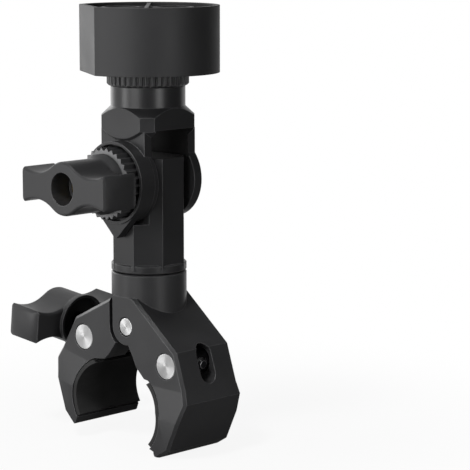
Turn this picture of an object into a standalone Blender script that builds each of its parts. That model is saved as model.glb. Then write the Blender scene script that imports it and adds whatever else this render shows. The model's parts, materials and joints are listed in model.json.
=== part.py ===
"""Pipe clamp mount: a two-jaw screw clamp, a swivelling post, a lockable tilting head and a D-shaped cup.

Lengths are in metres and +Z is up. X runs along the clamp's screw, Y along the clamped pipe and the
tilt axis, and Z along the post. The origin is on the post's axis, level with the middle of the pipe.
"""

from math import atan2, cos, hypot, pi, radians, sin, sqrt, tan

import bmesh
import bpy
from mathutils import Matrix, Vector

# Clearances
SEAT_GAP = 0.0003
RUN_GAP = 0.0003
SHAFT_GAP = 0.0003
SWING_GAP = 0.0005

# Clamp linkage: the pivot and the two trunnions, in the plane across the pipe
PIVOT_X = 0.0019
PIVOT_Z = 0.03235
ARM_LENGTH = 0.0246
ARM_DROP = radians(29.15)
OPENING = radians(12.5)

# Jaws
JAW_HALF_DEPTH = 0.0144
LEG_HALF_DEPTH = 0.0164
FLARE_TOP_Z = 0.012
FLARE_HEIGHT = 0.012
JAW_CHAMFER = 0.0011
SHOULDER_Z = 0.0436
SHOULDER_SLOPE = radians(39)
KNUCKLE_RADIUS = 0.0070
NEST_GAP = 0.0018
TONGUE_RADIUS = 0.0063
TONGUE_HALF_WIDTH = 0.0064
TONGUE_SLOT_DROP = 0.0095
TONGUE_ROOT_DROP = 0.0045
TONGUE_ROOT_SLOPE = 0.0007
TONGUE_ROOT_SINK = 0.002
SHOULDER_REACH = 0.0266
SHOULDER_DROP = 0.0063
WALL_TOP_REACH = 0.0312
WALL_REACH = 0.0326
WALL_DROP = 0.0251
HIP_REACH = 0.0297
TOE_REACH = 0.0243
TOE_DROP = 0.0439
TIP_REACH = 0.0187
TIP_DROP = 0.0470
TIP_ROUND = 0.0018
MOVING_SWELL = 0.0016
MOVING_SLOT_REACH = 0.0235
FIXED_SLOT_REACH = 0.03
THROAT = ((0.0100, 0.0185), (0.0058, 0.01465), (0.0037, 0.0105))
NOSE = ((0.0085, 0.0162), (0.0060, 0.0124))
KNUCKLE_START = radians(-78)
NEST_START = radians(231)
SLOT_LENGTH = 0.0145
SLOT_WIDTH = 0.0077

# Rubber pads
FIXED_PAD_REACH = 0.0035
FIXED_PAD_DROP = 0.03255
MOVING_PAD_REACH = 0.0054
MOVING_PAD_DROP = 0.03185
PAD_RADIUS = 0.0143
PAD_THICKNESS = 0.0016
PAD_TOP_ANGLE = radians(58)
PAD_BOTTOM_ANGLE = radians(-44)
PAD_END_SLANT = radians(3)
PAD_SETBACK = 0.0004

# Pins, trunnions and the clamp screw
PIVOT_PIN_RADIUS = 0.0034
TRUNNION_RADIUS = 0.0048
PIN_SETBACK = 0.0002
SCREW_RADIUS = 0.0025
SCREW_BEYOND = 0.0058
SCREW_END_EDGE = 0.0006
CLAMP_KNOB_STANDOFF = 0.0166

# Collar, swivel and post
COLLAR_RADIUS = 0.0143
COLLAR_TOP_Z = 0.0523
COLLAR_OVERLAP = 0.0005
RIM_EDGE = 0.0004
SWIVEL_GAP = 0.0004
SWIVEL_WASHER_RADIUS = 0.0115
SWIVEL_RECESS_DEPTH = 0.0012
FLANGE_HEIGHT = 0.0032
POST_FLATS = 0.0266
BASE_SCREW_RADIUS = 0.004
BASE_HEAD_RADIUS = 0.006
BASE_HEAD_HEIGHT = 0.0035
BASE_WASHER_THICKNESS = 0.001
BASE_RECESS_RISE = 0.0031
BASE_SCREW_GRIP = 0.013
BASE_SHANK_BORE_RISE = 0.008

# Tilt hinge
HINGE_Z = 0.0873
TONGUE_HALF = 0.0091
TONGUE_RISE = 0.009
NOTCH_DROP = 0.0158
EAR_THICKNESS = 0.0038
EAR_HALF_WIDTH = 0.0117
EAR_RADIUS = 0.0153
FRONT_BOSS_RADIUS = 0.0155
FRONT_BOSS_REACH = 0.0182
POINTER_REACH = 0.021
POINTER_ROUND = 0.0012
POINTER_FRONT = 0.0172
POINTER_BACK = 0.0138
DRUM_RECESS_DEPTH = 0.004
DRUM_RADIUS = 0.0136
DRUM_CLEARANCE = 0.0008
DRUM_ROOT_RADIUS = 0.0123
DRUM_TEETH = 30
DRUM_FACE = 0.0228
BACK_BOSS_RADIUS = 0.0095
BACK_BOSS_REACH = 0.0166
TILT_BOLT_RADIUS = 0.003
TILT_HEAD_RADIUS = 0.0052
TILT_HEAD_HEIGHT = 0.0038
TILT_HEAD_SEAT = 0.0123
HEX_SOCKET = 0.004
SOCKET_SHARE = 0.6
HEAD_EDGE = 0.0004

# Head block and neck
BLOCK_WIDTH = 0.0287
BLOCK_CORNER = 0.004
BLOCK_CORNER_RISE = 0.0196
BLOCK_CORNER_TOP_RISE = 0.0242
BLOCK_START_RISE = 0.01
BLOCK_EDGE = 0.0006
NECK_RADIUS = 0.0141
NECK_TOP_Z = 0.1226

# Lock ring and cup
RING_RADIUS = 0.0155
RING_ROOT_RADIUS = 0.0147
RING_TEETH = 40
RING_HEIGHT = 0.0044
RING_TIP_SHARE = 0.4
RING_CONE_HEIGHT = 0.0016
RING_CONE_INSET = 0.0009
CUP_RADIUS = 0.0271
CUP_FLAT = 0.0232
CUP_FLAT_ANGLE = radians(239.5)
CUP_RIB_ANGLE = radians(134.7)
CUP_HEIGHT = 0.0251
CUP_WALL = 0.0018
CUP_FLOOR = 0.0085
CUP_RIB = 0.0014
CUP_RIB_DROP = 0.0003
TUBE_RADIUS = 0.0077
TUBE_BORE = 0.0065
TUBE_OFFSET = 0.0097
STUD_RADIUS = 0.004
STUD_SINK = 0.012
STUD_EDGE = 0.0005
STUD_END_GAP = 0.0006
CUP_INSERT_RADIUS = 0.006
CUP_INSERT_DEPTH = 0.0074

# Wing knobs
KNOB_SPAN = 0.0466
LOBE_NECK_SHARE = 0.62
LOBE_DEPTH = 0.0161
LOBE_HALF_HEIGHT = 0.0065
NECK_HALF_HEIGHT = 0.0051
HUB_RADIUS = 0.0100
HUB_BORE = 0.0061
HUB_BORE_DEPTH = 0.009
CLAMP_FLANGE_RADIUS = 0.0106
TILT_FLANGE_RADIUS = 0.0113
KNOB_FLANGE_THICKNESS = 0.002
KNOB_EDGE = 0.0011
LOBE_CORNER = KNOB_EDGE + 0.0004
LOBE_END_DRAFT = 0.0003
HUB_TAPER = 0.0006
FLANGE_CONE = 0.0008
KNOB_CUP_FLOOR = 0.0012
TILT_KNOB_FACE = 0.0435
CLAMP_HUB_LENGTH = 0.0176
INSERT_RADIUS = 0.0048
KNOB_CUP_RADIUS = 0.0096
KNOB_CUP_DEPTH = 0.003

PLASTIC = ((0.055, 0.055, 0.057), 0.42, 0.0)
PAINT = ((0.050, 0.050, 0.052), 0.38, 0.3)
RUBBER = ((0.012, 0.012, 0.012), 0.75, 0.0)
STEEL = ((0.60, 0.60, 0.60), 0.28, 1.0)
BRASS = ((0.62, 0.47, 0.22), 0.35, 1.0)
DARK_STEEL = ((0.10, 0.10, 0.105), 0.4, 1.0)
SMOOTH_UNDER = radians(32)
FAR = 0.08
BEYOND = 0.001
SINK = 0.0002
INSERT_END_GAP = 0.0006

PIVOT = Vector((PIVOT_X, 0, PIVOT_Z))
HINGE = Vector((0, 0, HINGE_Z))
FIXED_TRUNNION = PIVOT + ARM_LENGTH * Vector((cos(ARM_DROP), 0, -sin(ARM_DROP)))
MOVING_DROP = ARM_DROP - OPENING
MOVING_TRUNNION = PIVOT + ARM_LENGTH * Vector((-cos(MOVING_DROP), 0, -sin(MOVING_DROP)))
SCREW_DIRECTION = (FIXED_TRUNNION - MOVING_TRUNNION).normalized()
FIXED_PAD_CENTRE = (PIVOT_X + FIXED_PAD_REACH, PIVOT_Z - FIXED_PAD_DROP)
MOVING_PAD_CENTRE = (PIVOT_X + MOVING_PAD_REACH, PIVOT_Z - MOVING_PAD_DROP)
EAR_INNER = TONGUE_HALF + RUN_GAP
EAR_OUTER = EAR_INNER + EAR_THICKNESS
FLANGE_BOTTOM_Z = COLLAR_TOP_Z + SWIVEL_GAP
FLANGE_TOP_Z = FLANGE_BOTTOM_Z + FLANGE_HEIGHT
RING_BOTTOM_Z = NECK_TOP_Z + SEAT_GAP
CUP_BOTTOM_Z = RING_BOTTOM_Z + RING_HEIGHT + SEAT_GAP
CUP_TOP_Z = CUP_BOTTOM_Z + CUP_HEIGHT


def start_collections():
    """Empties the scene and returns the collections of the parts and of the cutters."""
    for leftover in list(bpy.data.objects):
        bpy.data.objects.remove(leftover, do_unlink=True)
    found = []
    for name in ("pipe_clamp_mount", "cutters"):
        collection = bpy.data.collections.new(name)
        bpy.context.scene.collection.children.link(collection)
        found.append(collection)
    return found


PARTS, CUTTERS = start_collections()


def material(name, look):
    """A Principled material with the colour, roughness and metallic value of `look`."""
    colour, roughness, metallic = look
    made = bpy.data.materials.new(name)
    made.use_nodes = True
    shader = made.node_tree.nodes["Principled BSDF"]
    shader.inputs["Base Color"].default_value = (*colour, 1)
    shader.inputs["Roughness"].default_value = roughness
    shader.inputs["Metallic"].default_value = metallic
    made.diffuse_color = (*colour, 1)
    return made


def finish(obj, look):
    """Makes `obj` one of the parts, with a material of its own."""
    PARTS.objects.link(obj)
    obj.data.materials.clear()
    obj.data.materials.append(material(obj.name + "_finish", look))
    return obj


def as_cutter(obj):
    """Hides a solid that only shapes others."""
    CUTTERS.objects.link(obj)
    obj.hide_render = True
    obj.display_type = "WIRE"
    return obj


def boolean(obj, other, operation="DIFFERENCE"):
    """Adds a Boolean with `other`, which becomes a hidden cutter."""
    if other.name not in CUTTERS.objects:
        as_cutter(other)
    step = obj.modifiers.new(f"{operation.lower()}_{other.name}", "BOOLEAN")
    step.operation = operation
    step.object = other
    step.solver = "EXACT"
    return obj


def arc(centre, radius, start, end, steps):
    """Points from angle `start` to `end` about `centre`, both ends included."""
    return [
        (centre[0] + radius * cos(start + (end - start) * i / steps),
         centre[1] + radius * sin(start + (end - start) * i / steps))
        for i in range(steps + 1)
    ]


def plate(name, outline, low, high, axis="Y"):
    """A flat outline drawn along `axis` from `low` to `high`, made with a filled curve.

    On axis Y the outline's points are (x, z). On Z they are (x, y), and on X they are (y, z).
    """
    curve = bpy.data.curves.new(name, "CURVE")
    curve.dimensions = "2D"
    curve.fill_mode = "BOTH"
    curve.extrude = (high - low) / 2
    spline = curve.splines.new("POLY")
    spline.points.add(len(outline) - 1)
    for point, (u, v) in zip(spline.points, outline):
        point.co = (u, v, 0, 1)
    spline.use_cyclic_u = True
    middle = (high + low) / 2
    place = {
        "X": Matrix.Translation((middle, 0, 0)) @ Matrix(((0, 0, 1, 0), (1, 0, 0, 0), (0, 1, 0, 0), (0, 0, 0, 1))),
        "Y": Matrix.Translation((0, middle, 0)) @ Matrix.Rotation(pi / 2, 4, "X"),
        "Z": Matrix.Translation((0, 0, middle)),
    }[axis]
    guide = bpy.data.objects.new(name + "_outline", curve)
    bpy.context.scene.collection.objects.link(guide)
    bpy.context.view_layer.update()
    flat = bpy.data.meshes.new_from_object(guide.evaluated_get(bpy.context.evaluated_depsgraph_get()))
    bpy.data.objects.remove(guide, do_unlink=True)
    flat.transform(place)
    weld(flat)
    flat.name = name
    return bpy.data.objects.new(name, flat)


def weld(mesh, within=1e-6):
    """Closes the mesh and faces it outwards. Its curved faces shade smooth and its flat ones flat."""
    shape = bmesh.new()
    shape.from_mesh(mesh)
    bmesh.ops.remove_doubles(shape, verts=shape.verts, dist=within)
    bmesh.ops.recalc_face_normals(shape, faces=shape.faces)
    for edge in shape.edges:
        edge.smooth = edge.calc_face_angle(pi) < SMOOTH_UNDER
    for face in shape.faces:
        face.smooth = any(radians(1) < edge.calc_face_angle(pi) < SMOOTH_UNDER for edge in face.edges)
    shape.to_mesh(mesh)
    shape.free()


def settle(obj):
    """Turns the object's modifiers into plain geometry, so that its new edges can be marked."""
    bpy.context.scene.collection.objects.link(obj)
    bpy.context.view_layer.update()
    made = bpy.data.meshes.new_from_object(obj.evaluated_get(bpy.context.evaluated_depsgraph_get()))
    bpy.context.scene.collection.objects.unlink(obj)
    obj.modifiers.clear()
    obj.data = made
    made.transform(obj.matrix_world)
    obj.matrix_world = Matrix()
    weld(made)
    return obj


def cylinder(name, radius, start, end, segments=48, end_radius=None):
    """A closed cylinder or cone between two points."""
    start, end = Vector(start), Vector(end)
    shape = bmesh.new()
    bmesh.ops.create_cone(
        shape, cap_ends=True, segments=segments, radius1=radius,
        radius2=radius if end_radius is None else end_radius, depth=(end - start).length,
    )
    mesh = bpy.data.meshes.new(name)
    shape.to_mesh(mesh)
    shape.free()
    turn = Vector((0, 0, 1)).rotation_difference(end - start).to_matrix().to_4x4()
    mesh.transform(Matrix.Translation((start + end) / 2) @ turn)
    weld(mesh)
    return bpy.data.objects.new(name, mesh)


def box(name, low, high):
    """A box between two corners."""
    low, high = Vector(low), Vector(high)
    shape = bmesh.new()
    bmesh.ops.create_cube(shape, size=1)
    mesh = bpy.data.meshes.new(name)
    shape.to_mesh(mesh)
    shape.free()
    size = high - low
    mesh.transform(Matrix.Translation((low + high) / 2) @ Matrix.Diagonal((*size, 1)))
    return bpy.data.objects.new(name, mesh)


def turned(name, profile, start, direction, steps=48):
    """A profile of (radius, height) points, outer side from top to bottom, turned about an axis."""
    mesh = bpy.data.meshes.new(name)
    mesh.from_pydata([(radius, 0, height) for radius, height in profile],
                     [(i, i + 1) for i in range(len(profile) - 1)], [])
    obj = bpy.data.objects.new(name, mesh)
    turn = Vector((0, 0, 1)).rotation_difference(Vector(direction)).to_matrix().to_4x4()
    obj.matrix_world = Matrix.Translation(start) @ turn
    lathe = obj.modifiers.new("lathe", "SCREW")
    lathe.axis = "Z"
    lathe.steps = steps
    lathe.render_steps = steps
    lathe.use_merge_vertices = True
    lathe.merge_threshold = 0.000001
    return settle(obj)


def toothed_outline(outer, root, teeth, tip_share=0.0):
    """A ring of pointed or flat-topped teeth about the origin."""
    points = []
    pitch = 2 * pi / teeth
    for i in range(teeth):
        middle = i * pitch
        half_tip = pitch * tip_share / 2
        points.append((root * cos(middle - pitch / 2), root * sin(middle - pitch / 2)))
        for turn in ((-half_tip, half_tip) if tip_share else (0,)):
            points.append((outer * cos(middle + turn), outer * sin(middle + turn)))
    return points


def out_from_pivot(reach, drop):
    """The point (x, z) that lies `reach` to the right of the pivot and `drop` below it."""
    return (PIVOT_X + reach, PIVOT_Z - drop)


def same(point):
    """Leaves a point of the fixed jaw where it is."""
    return point


def to_moving(point):
    """Mirrors a point of the fixed jaw about the pivot and swings it open."""
    x, z = PIVOT_X - point[0], point[1] - PIVOT_Z
    turned_x = x * cos(OPENING) + z * sin(OPENING)
    turned_z = z * cos(OPENING) - x * sin(OPENING)
    return (PIVOT_X + turned_x, PIVOT_Z + turned_z)


def outer_wall(swell):
    """The jaw's outer corners from the shoulder to the toe. Two of them lie where the flare starts and ends."""
    return [
        out_from_pivot(SHOULDER_REACH + swell, SHOULDER_DROP),
        out_from_pivot(WALL_TOP_REACH + swell, PIVOT_Z - FLARE_TOP_Z),
        out_from_pivot(WALL_REACH + swell, WALL_DROP),
        out_from_pivot(HIP_REACH + swell, PIVOT_Z - FLARE_TOP_Z + FLARE_HEIGHT),
        out_from_pivot(TOE_REACH, TOE_DROP),
    ]


def tip_centre():
    """The centre of the rounded end of the leg."""
    return out_from_pivot(TIP_REACH, TIP_DROP - TIP_ROUND)


def tip_and_seat(pad_centre):
    """The rounded tip and the arc that the pad lies against, from the tip up."""
    seat = PAD_RADIUS + PAD_THICKNESS + SEAT_GAP
    rounded = arc(tip_centre(), TIP_ROUND, radians(-45), radians(-190), 5)
    return rounded + arc(pad_centre, seat, PAD_BOTTOM_ANGLE - radians(2), PAD_TOP_ANGLE, 22)


def miters(path):
    """How each corner of a path moves when the whole path moves in by one."""
    normals = [Vector((end[1] - start[1], start[0] - end[0])).normalized() for start, end in zip(path, path[1:])]
    pairs = zip([normals[0], *normals], [*normals, normals[-1]])
    return [(first + second) / (1 + first.dot(second)) for first, second in pairs]


def wall_hull(name, swell, place):
    """Everything inside the jaw's outer wall, with its front and back edges chamfered."""
    corners = [Vector(corner) for corner in outer_wall(swell)]
    start = corners[0] + FAR * Vector((-1, tan(SHOULDER_SLOPE)))
    tangent = Vector(arc(tip_centre(), TIP_ROUND, radians(-60), 0, 1)[0])
    end = corners[-1] + FAR * (tangent - corners[-1]).normalized()
    path = [start, *corners, end]
    wall_share = (FLARE_TOP_Z - PIVOT_Z + WALL_DROP) / FLARE_HEIGHT
    flares = (0, 0, 0, wall_share, 1, 1, 1)
    depths = [JAW_HALF_DEPTH + flare * (LEG_HALF_DEPTH - JAW_HALF_DEPTH) - JAW_CHAMFER for flare in flares]
    face = LEG_HALF_DEPTH + 0.001
    shape = bmesh.new()
    rings = []
    for side, at_face in ((-1, True), (-1, False), (1, False), (1, True)):
        ring = []
        for point, miter, depth in zip(path, miters(path), depths):
            x, z = place(point + miter * (face - depth) if at_face else point)
            ring.append(shape.verts.new((x, side * (face if at_face else depth), z)))
        rings.append(ring)
    for first, second in zip(rings, rings[1:]):
        for i in range(len(path)):
            j = (i + 1) % len(path)
            shape.faces.new((first[i], first[j], second[j], second[i]))
    bmesh.ops.triangulate(shape, faces=shape.faces)
    shape.faces.new(rings[0])
    shape.faces.new(rings[-1])
    mesh = bpy.data.meshes.new(name)
    shape.to_mesh(mesh)
    shape.free()
    weld(mesh)
    mesh.shade_flat()
    return bpy.data.objects.new(name, mesh)


def fixed_outline():
    """The fixed jaw's inner side, closed well outside its outer wall."""
    throat = [out_from_pivot(*point) for point in THROAT]
    knuckle = arc((PIVOT_X, PIVOT_Z), KNUCKLE_RADIUS, KNUCKLE_START, -pi, 10)
    return [(PIVOT_X - KNUCKLE_RADIUS, SHOULDER_Z), (FAR, SHOULDER_Z), (FAR, -FAR / 2),
            *tip_and_seat(FIXED_PAD_CENTRE), *throat, *knuckle]


def leg_block(name, place):
    """A block as deep as the jaw's upper part, flaring out to the leg's depth below."""
    depths = [(FAR, JAW_HALF_DEPTH), (FLARE_TOP_Z, JAW_HALF_DEPTH),
              (FLARE_TOP_Z - FLARE_HEIGHT, LEG_HALF_DEPTH), (-FAR, LEG_HALF_DEPTH)]
    outline = [(half, z) for z, half in depths] + [(-half, z) for z, half in reversed(depths)]
    block = plate(name, outline, PIVOT_X - 2 * FAR, PIVOT_X + 2 * FAR, "X")
    for vertex in block.data.vertices:
        x, z = place((vertex.co.x, vertex.co.z))
        vertex.co = (x, vertex.co.y, z)
    weld(block.data)
    block.data.shade_flat()
    return block


def slot_cutter(name, centre, reach, place):
    """An oblong slot across the jaw for the screw to swing in."""
    straight = (SLOT_LENGTH - SLOT_WIDTH) / 2
    outline = (arc((0, centre.z + straight), SLOT_WIDTH / 2, 0, pi, 10)
               + arc((0, centre.z - straight), SLOT_WIDTH / 2, pi, 2 * pi, 10))
    cutter = plate(name, outline, centre.x - reach, centre.x + reach, "X")
    for vertex in cutter.data.vertices:
        x, z = place((vertex.co.x, vertex.co.z))
        vertex.co = (x, vertex.co.y, z)
    weld(cutter.data)
    return cutter


def crosswise(name, radius, centre, reach, segments=48):
    """A cylinder along Y, reaching as far on both sides of its centre."""
    return cylinder(name, radius, (centre.x, -reach, centre.z), (centre.x, reach, centre.z), segments)


def upright(name, radius, bottom, top, segments=48):
    """A cylinder on the post's axis."""
    return cylinder(name, radius, (0, 0, bottom), (0, 0, top), segments)


def cross_bore(name, centre, radius):
    """A bore along Y through the whole clamp."""
    return crosswise(name, radius, centre, LEG_HALF_DEPTH + BEYOND)


def fixed_jaw():
    """The casting that stays put: collar, shoulder, wall and leg."""
    jaw = plate("fixed_jaw", fixed_outline(), -FAR, FAR)
    boolean(jaw, leg_block("fixed_leg_block", same), "INTERSECT")
    boolean(jaw, wall_hull("fixed_wall_hull", 0, same), "INTERSECT")
    collar = edged_disc("collar", COLLAR_RADIUS, PIVOT_Z + BEYOND, COLLAR_TOP_Z)
    collar_foot = SHOULDER_Z - COLLAR_OVERLAP
    boolean(collar, box("collar_trim", (-FAR, -FAR, 0), (0, FAR, collar_foot)))
    boolean(jaw, collar, "UNION")
    recess_floor = COLLAR_TOP_Z - SWIVEL_RECESS_DEPTH
    boolean(jaw, upright("washer_recess", SWIVEL_WASHER_RADIUS + SEAT_GAP, recess_floor, COLLAR_TOP_Z + BEYOND))
    slot_half = TONGUE_HALF_WIDTH + RUN_GAP
    slot_low = (-FAR, -slot_half, PIVOT_Z - TONGUE_SLOT_DROP)
    boolean(jaw, box("tongue_slot", slot_low, (PIVOT_X, slot_half, collar_foot - SINK)))
    boolean(jaw, crosswise("tongue_swing", TONGUE_RADIUS + SWING_GAP, PIVOT, slot_half))
    boolean(jaw, cross_bore("fixed_pivot_bore", PIVOT, PIVOT_PIN_RADIUS + SEAT_GAP))
    boolean(jaw, cross_bore("fixed_trunnion_bore", FIXED_TRUNNION, TRUNNION_RADIUS + SEAT_GAP))
    boolean(jaw, slot_cutter("fixed_slot", FIXED_TRUNNION, FIXED_SLOT_REACH, same))
    boolean(jaw, upright("base_head_recess", BASE_HEAD_RADIUS + SEAT_GAP, PIVOT_Z, SHOULDER_Z + BASE_RECESS_RISE))
    boolean(jaw, upright("base_shank_bore", BASE_SCREW_RADIUS + SEAT_GAP, PIVOT_Z + BASE_SHANK_BORE_RISE,
                         COLLAR_TOP_Z + BEYOND))
    return finish(jaw, PAINT)


def moving_outline():
    """The moving jaw's inner side, closed well outside its outer wall."""
    nest = KNUCKLE_RADIUS + NEST_GAP
    nose = [out_from_pivot(*point) for point in NOSE]
    return [(PIVOT_X - nest, FAR), (-FAR, FAR), (-FAR, -FAR / 2),
            *[to_moving(point) for point in tip_and_seat(MOVING_PAD_CENTRE) + nose],
            *arc((PIVOT_X, PIVOT_Z), nest, NEST_START, pi, 9)]


def tongue_root_outline():
    """The web that joins the tongue's eye to the jaw, seen along Y."""
    left, top = PIVOT_X - KNUCKLE_RADIUS - NEST_GAP - TONGUE_ROOT_SINK, PIVOT_Z + TONGUE_RADIUS - SINK
    bottom = PIVOT_Z - TONGUE_ROOT_DROP
    return [(PIVOT_X, top), (left, top), (left, bottom), (PIVOT_X - TONGUE_RADIUS / 2, bottom - TONGUE_ROOT_SLOPE)]


def moving_jaw():
    """The casting that swings: wall and leg, with a tongue between the fixed jaw's cheeks."""
    jaw = plate("moving_jaw", moving_outline(), -FAR, FAR)
    boolean(jaw, leg_block("moving_leg_block", to_moving), "INTERSECT")
    boolean(jaw, wall_hull("moving_wall_hull", MOVING_SWELL, to_moving), "INTERSECT")
    boolean(jaw, slot_cutter("moving_slot", FIXED_TRUNNION, MOVING_SLOT_REACH, to_moving))
    boolean(jaw, plate("tongue_root", tongue_root_outline(), -TONGUE_HALF_WIDTH, TONGUE_HALF_WIDTH), "UNION")
    boolean(jaw, crosswise("tongue_eye", TONGUE_RADIUS, PIVOT, TONGUE_HALF_WIDTH), "UNION")
    boolean(jaw, cross_bore("moving_pivot_bore", PIVOT, PIVOT_PIN_RADIUS + SEAT_GAP))
    boolean(jaw, cross_bore("moving_trunnion_bore", MOVING_TRUNNION, TRUNNION_RADIUS + SEAT_GAP))
    return finish(jaw, PAINT)


def pad(name, centre, place):
    """A rubber strip moulded to the pipe, with a lip past each end of its seat."""
    outer = PAD_RADIUS + PAD_THICKNESS
    top, bottom = PAD_TOP_ANGLE, PAD_BOTTOM_ANGLE
    outline = arc(centre, outer, bottom, top - PAD_END_SLANT, 22)
    outline += arc(centre, PAD_RADIUS, top, bottom - PAD_END_SLANT / 3, 22)
    half = LEG_HALF_DEPTH - PAD_SETBACK
    strip = plate(name, [place(point) for point in outline], -half, half)
    boolean(strip, leg_block(name + "_block", place), "INTERSECT")
    return finish(strip, RUBBER)


def pin(name, centre, radius, hole=0.0):
    """A plain round pin across the jaws, with an optional cross hole for the screw."""
    reach = JAW_HALF_DEPTH - PIN_SETBACK
    made = crosswise(name, radius, centre, reach, 40)
    if hole:
        along = SCREW_DIRECTION * (radius + BEYOND)
        boolean(made, cylinder(name + "_hole", hole, centre - along, centre + along, 24))
    return finish(made, STEEL)


def clamp_screw():
    """The screw's shank, from inside the knob to just past the fixed trunnion."""
    behind = CLAMP_KNOB_STANDOFF + CLAMP_HUB_LENGTH - HUB_BORE_DEPTH - INSERT_END_GAP
    start = MOVING_TRUNNION - SCREW_DIRECTION * behind
    end = FIXED_TRUNNION + SCREW_DIRECTION * SCREW_BEYOND
    length = (end - start).length
    edge = SCREW_END_EDGE
    profile = [(0, length), (SCREW_RADIUS - edge, length), (SCREW_RADIUS, length - edge), (SCREW_RADIUS, 0), (0, 0)]
    return finish(turned("clamp_screw", profile, start, SCREW_DIRECTION, 24), STEEL)


def thrust_sleeve():
    """The sleeve between the moving trunnion and the knob."""
    start = MOVING_TRUNNION - SCREW_DIRECTION * (CLAMP_KNOB_STANDOFF + KNOB_CUP_DEPTH - SEAT_GAP)
    end = MOVING_TRUNNION - SCREW_DIRECTION * (TRUNNION_RADIUS + SEAT_GAP)
    inner = SCREW_RADIUS + SEAT_GAP
    length = (end - start).length
    outer = SLOT_WIDTH / 2 - SWING_GAP
    profile = [(inner, length), (outer, length), (outer, 0), (inner, 0), (inner, length)]
    return finish(turned("thrust_sleeve", profile, start, SCREW_DIRECTION, 32), STEEL)


def knob_outline():
    """The wavy outline of a wing knob, about its centre."""
    half, corner = KNOB_SPAN / 2, LOBE_CORNER
    quarter = arc((0, 0), HUB_RADIUS, radians(90), radians(54), 4)
    neck_x, flare_x = half * LOBE_NECK_SHARE, half - corner
    start_x, start_z = quarter[-1]
    for i in range(1, 8):
        share = i / 7
        quarter.append((start_x + (neck_x - start_x) * share,
                        NECK_HALF_HEIGHT + (start_z - NECK_HALF_HEIGHT) * (1 - share) ** 2))
    for i in range(1, 5):
        share = i / 4
        quarter.append((neck_x + (flare_x - neck_x) * share,
                        NECK_HALF_HEIGHT + (LOBE_HALF_HEIGHT - NECK_HALF_HEIGHT) * share ** 2))
    quarter.append((half - LOBE_END_DRAFT, LOBE_HALF_HEIGHT - corner))
    quarter.append((half, 0))
    right = quarter + [(x, -z) for x, z in reversed(quarter[:-1])]
    left = [(-x, -z) for x, z in right[1:-1]]
    return right + left


def rounded_prism(name, outline, height, edge):
    """A closed outline raised to `height`, with its edges at both ends rounded."""
    corners = [Vector(point) for point in outline]
    inward = miters([corners[-1], *corners, corners[0]])[1:-1]
    levels = [(edge * (1 - sin(turn)), edge * (1 - cos(turn))) for turn in (0, pi / 6, pi / 3, pi / 2)]
    levels += [(inset, height - rise) for inset, rise in reversed(levels)]
    shape = bmesh.new()
    rings = [[shape.verts.new((*(corner + move * inset), rise)) for corner, move in zip(corners, inward)]
             for inset, rise in levels]
    for first, second in zip(rings, rings[1:]):
        for i in range(len(corners)):
            shape.faces.new((first[i - 1], first[i], second[i], second[i - 1]))
    shape.faces.new(rings[0])
    shape.faces.new(rings[-1])
    mesh = bpy.data.meshes.new(name)
    shape.to_mesh(mesh)
    shape.free()
    weld(mesh)
    return bpy.data.objects.new(name, mesh)


def knob_hub(name, length, flange_radius):
    """The knob's round hub, with a flange at its back."""
    flange = length - KNOB_FLANGE_THICKNESS
    return turned(name, [
        (0, length), (flange_radius, length), (flange_radius, flange), (HUB_RADIUS, flange - FLANGE_CONE),
        (HUB_RADIUS - HUB_TAPER, KNOB_EDGE), (0, KNOB_EDGE),
    ], (0, 0, 0), (0, 0, 1))


def wing_knob(name, hub_length, flange_radius, thread, place):
    """A moulded knob: two lobes on a hub, with a bore in front and a cup behind. It faces -Z at rest."""
    knob = rounded_prism(name, knob_outline(), LOBE_DEPTH, KNOB_EDGE)
    cup_floor, through = hub_length - KNOB_CUP_DEPTH, hub_length + BEYOND
    insert_end = cup_floor - KNOB_CUP_FLOOR
    tools = [
        (knob_hub(name + "_hub", hub_length, flange_radius), "UNION"),
        (upright(name + "_bore", HUB_BORE, -BEYOND, HUB_BORE_DEPTH), "DIFFERENCE"),
        (upright(name + "_insert_hole", INSERT_RADIUS + SEAT_GAP, KNOB_EDGE, insert_end), "DIFFERENCE"),
        (upright(name + "_shank_hole", thread + SEAT_GAP, KNOB_EDGE, through, 32), "DIFFERENCE"),
        (upright(name + "_cup", KNOB_CUP_RADIUS, cup_floor, through), "DIFFERENCE"),
    ]
    knob.matrix_world = place
    for tool, operation in tools:
        tool.matrix_world = place
        boolean(knob, tool, operation)
    return finish(knob, PLASTIC)


def knob_place(face, toward, span):
    """The frame of a wing knob: its outer face's centre, its axis and the direction of its lobes."""
    toward, span = Vector(toward), Vector(span)
    up = toward.cross(span)
    turn = Matrix((span, up, toward)).transposed().to_4x4()
    return Matrix.Translation(face) @ turn


def clamp_knob_frame():
    """The clamp knob's frame, square to the screw with its lobes along Y."""
    face = MOVING_TRUNNION - SCREW_DIRECTION * (CLAMP_KNOB_STANDOFF + CLAMP_HUB_LENGTH)
    return knob_place(face, SCREW_DIRECTION, (0, 1, 0))


def tilt_knob_frame():
    """The tilt knob's frame, on the hinge's axis with its lobes along X."""
    return knob_place((0, -TILT_KNOB_FACE, HINGE_Z), (0, 1, 0), (1, 0, 0))


def knob_insert(name, hub_length, thread, place):
    """The threaded metal insert between a knob's front bore and the cup behind."""
    bore = thread + SEAT_GAP
    low, high = HUB_BORE_DEPTH, hub_length - KNOB_CUP_DEPTH - KNOB_CUP_FLOOR - SEAT_GAP
    profile = [(bore, high), (INSERT_RADIUS, high), (INSERT_RADIUS, low), (bore, low), (bore, high)]
    return finish(turned(name, profile, place.translation, place.to_3x3().col[2], 32), BRASS)


def ring(name, inner, outer, start, end, look, steps=48):
    """A flat round washer between two points on its axis."""
    start, end = Vector(start), Vector(end)
    length = (end - start).length
    profile = [(inner, length), (outer, length), (outer, 0), (inner, 0), (inner, length)]
    return finish(turned(name, profile, start, end - start, steps), look)


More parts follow.
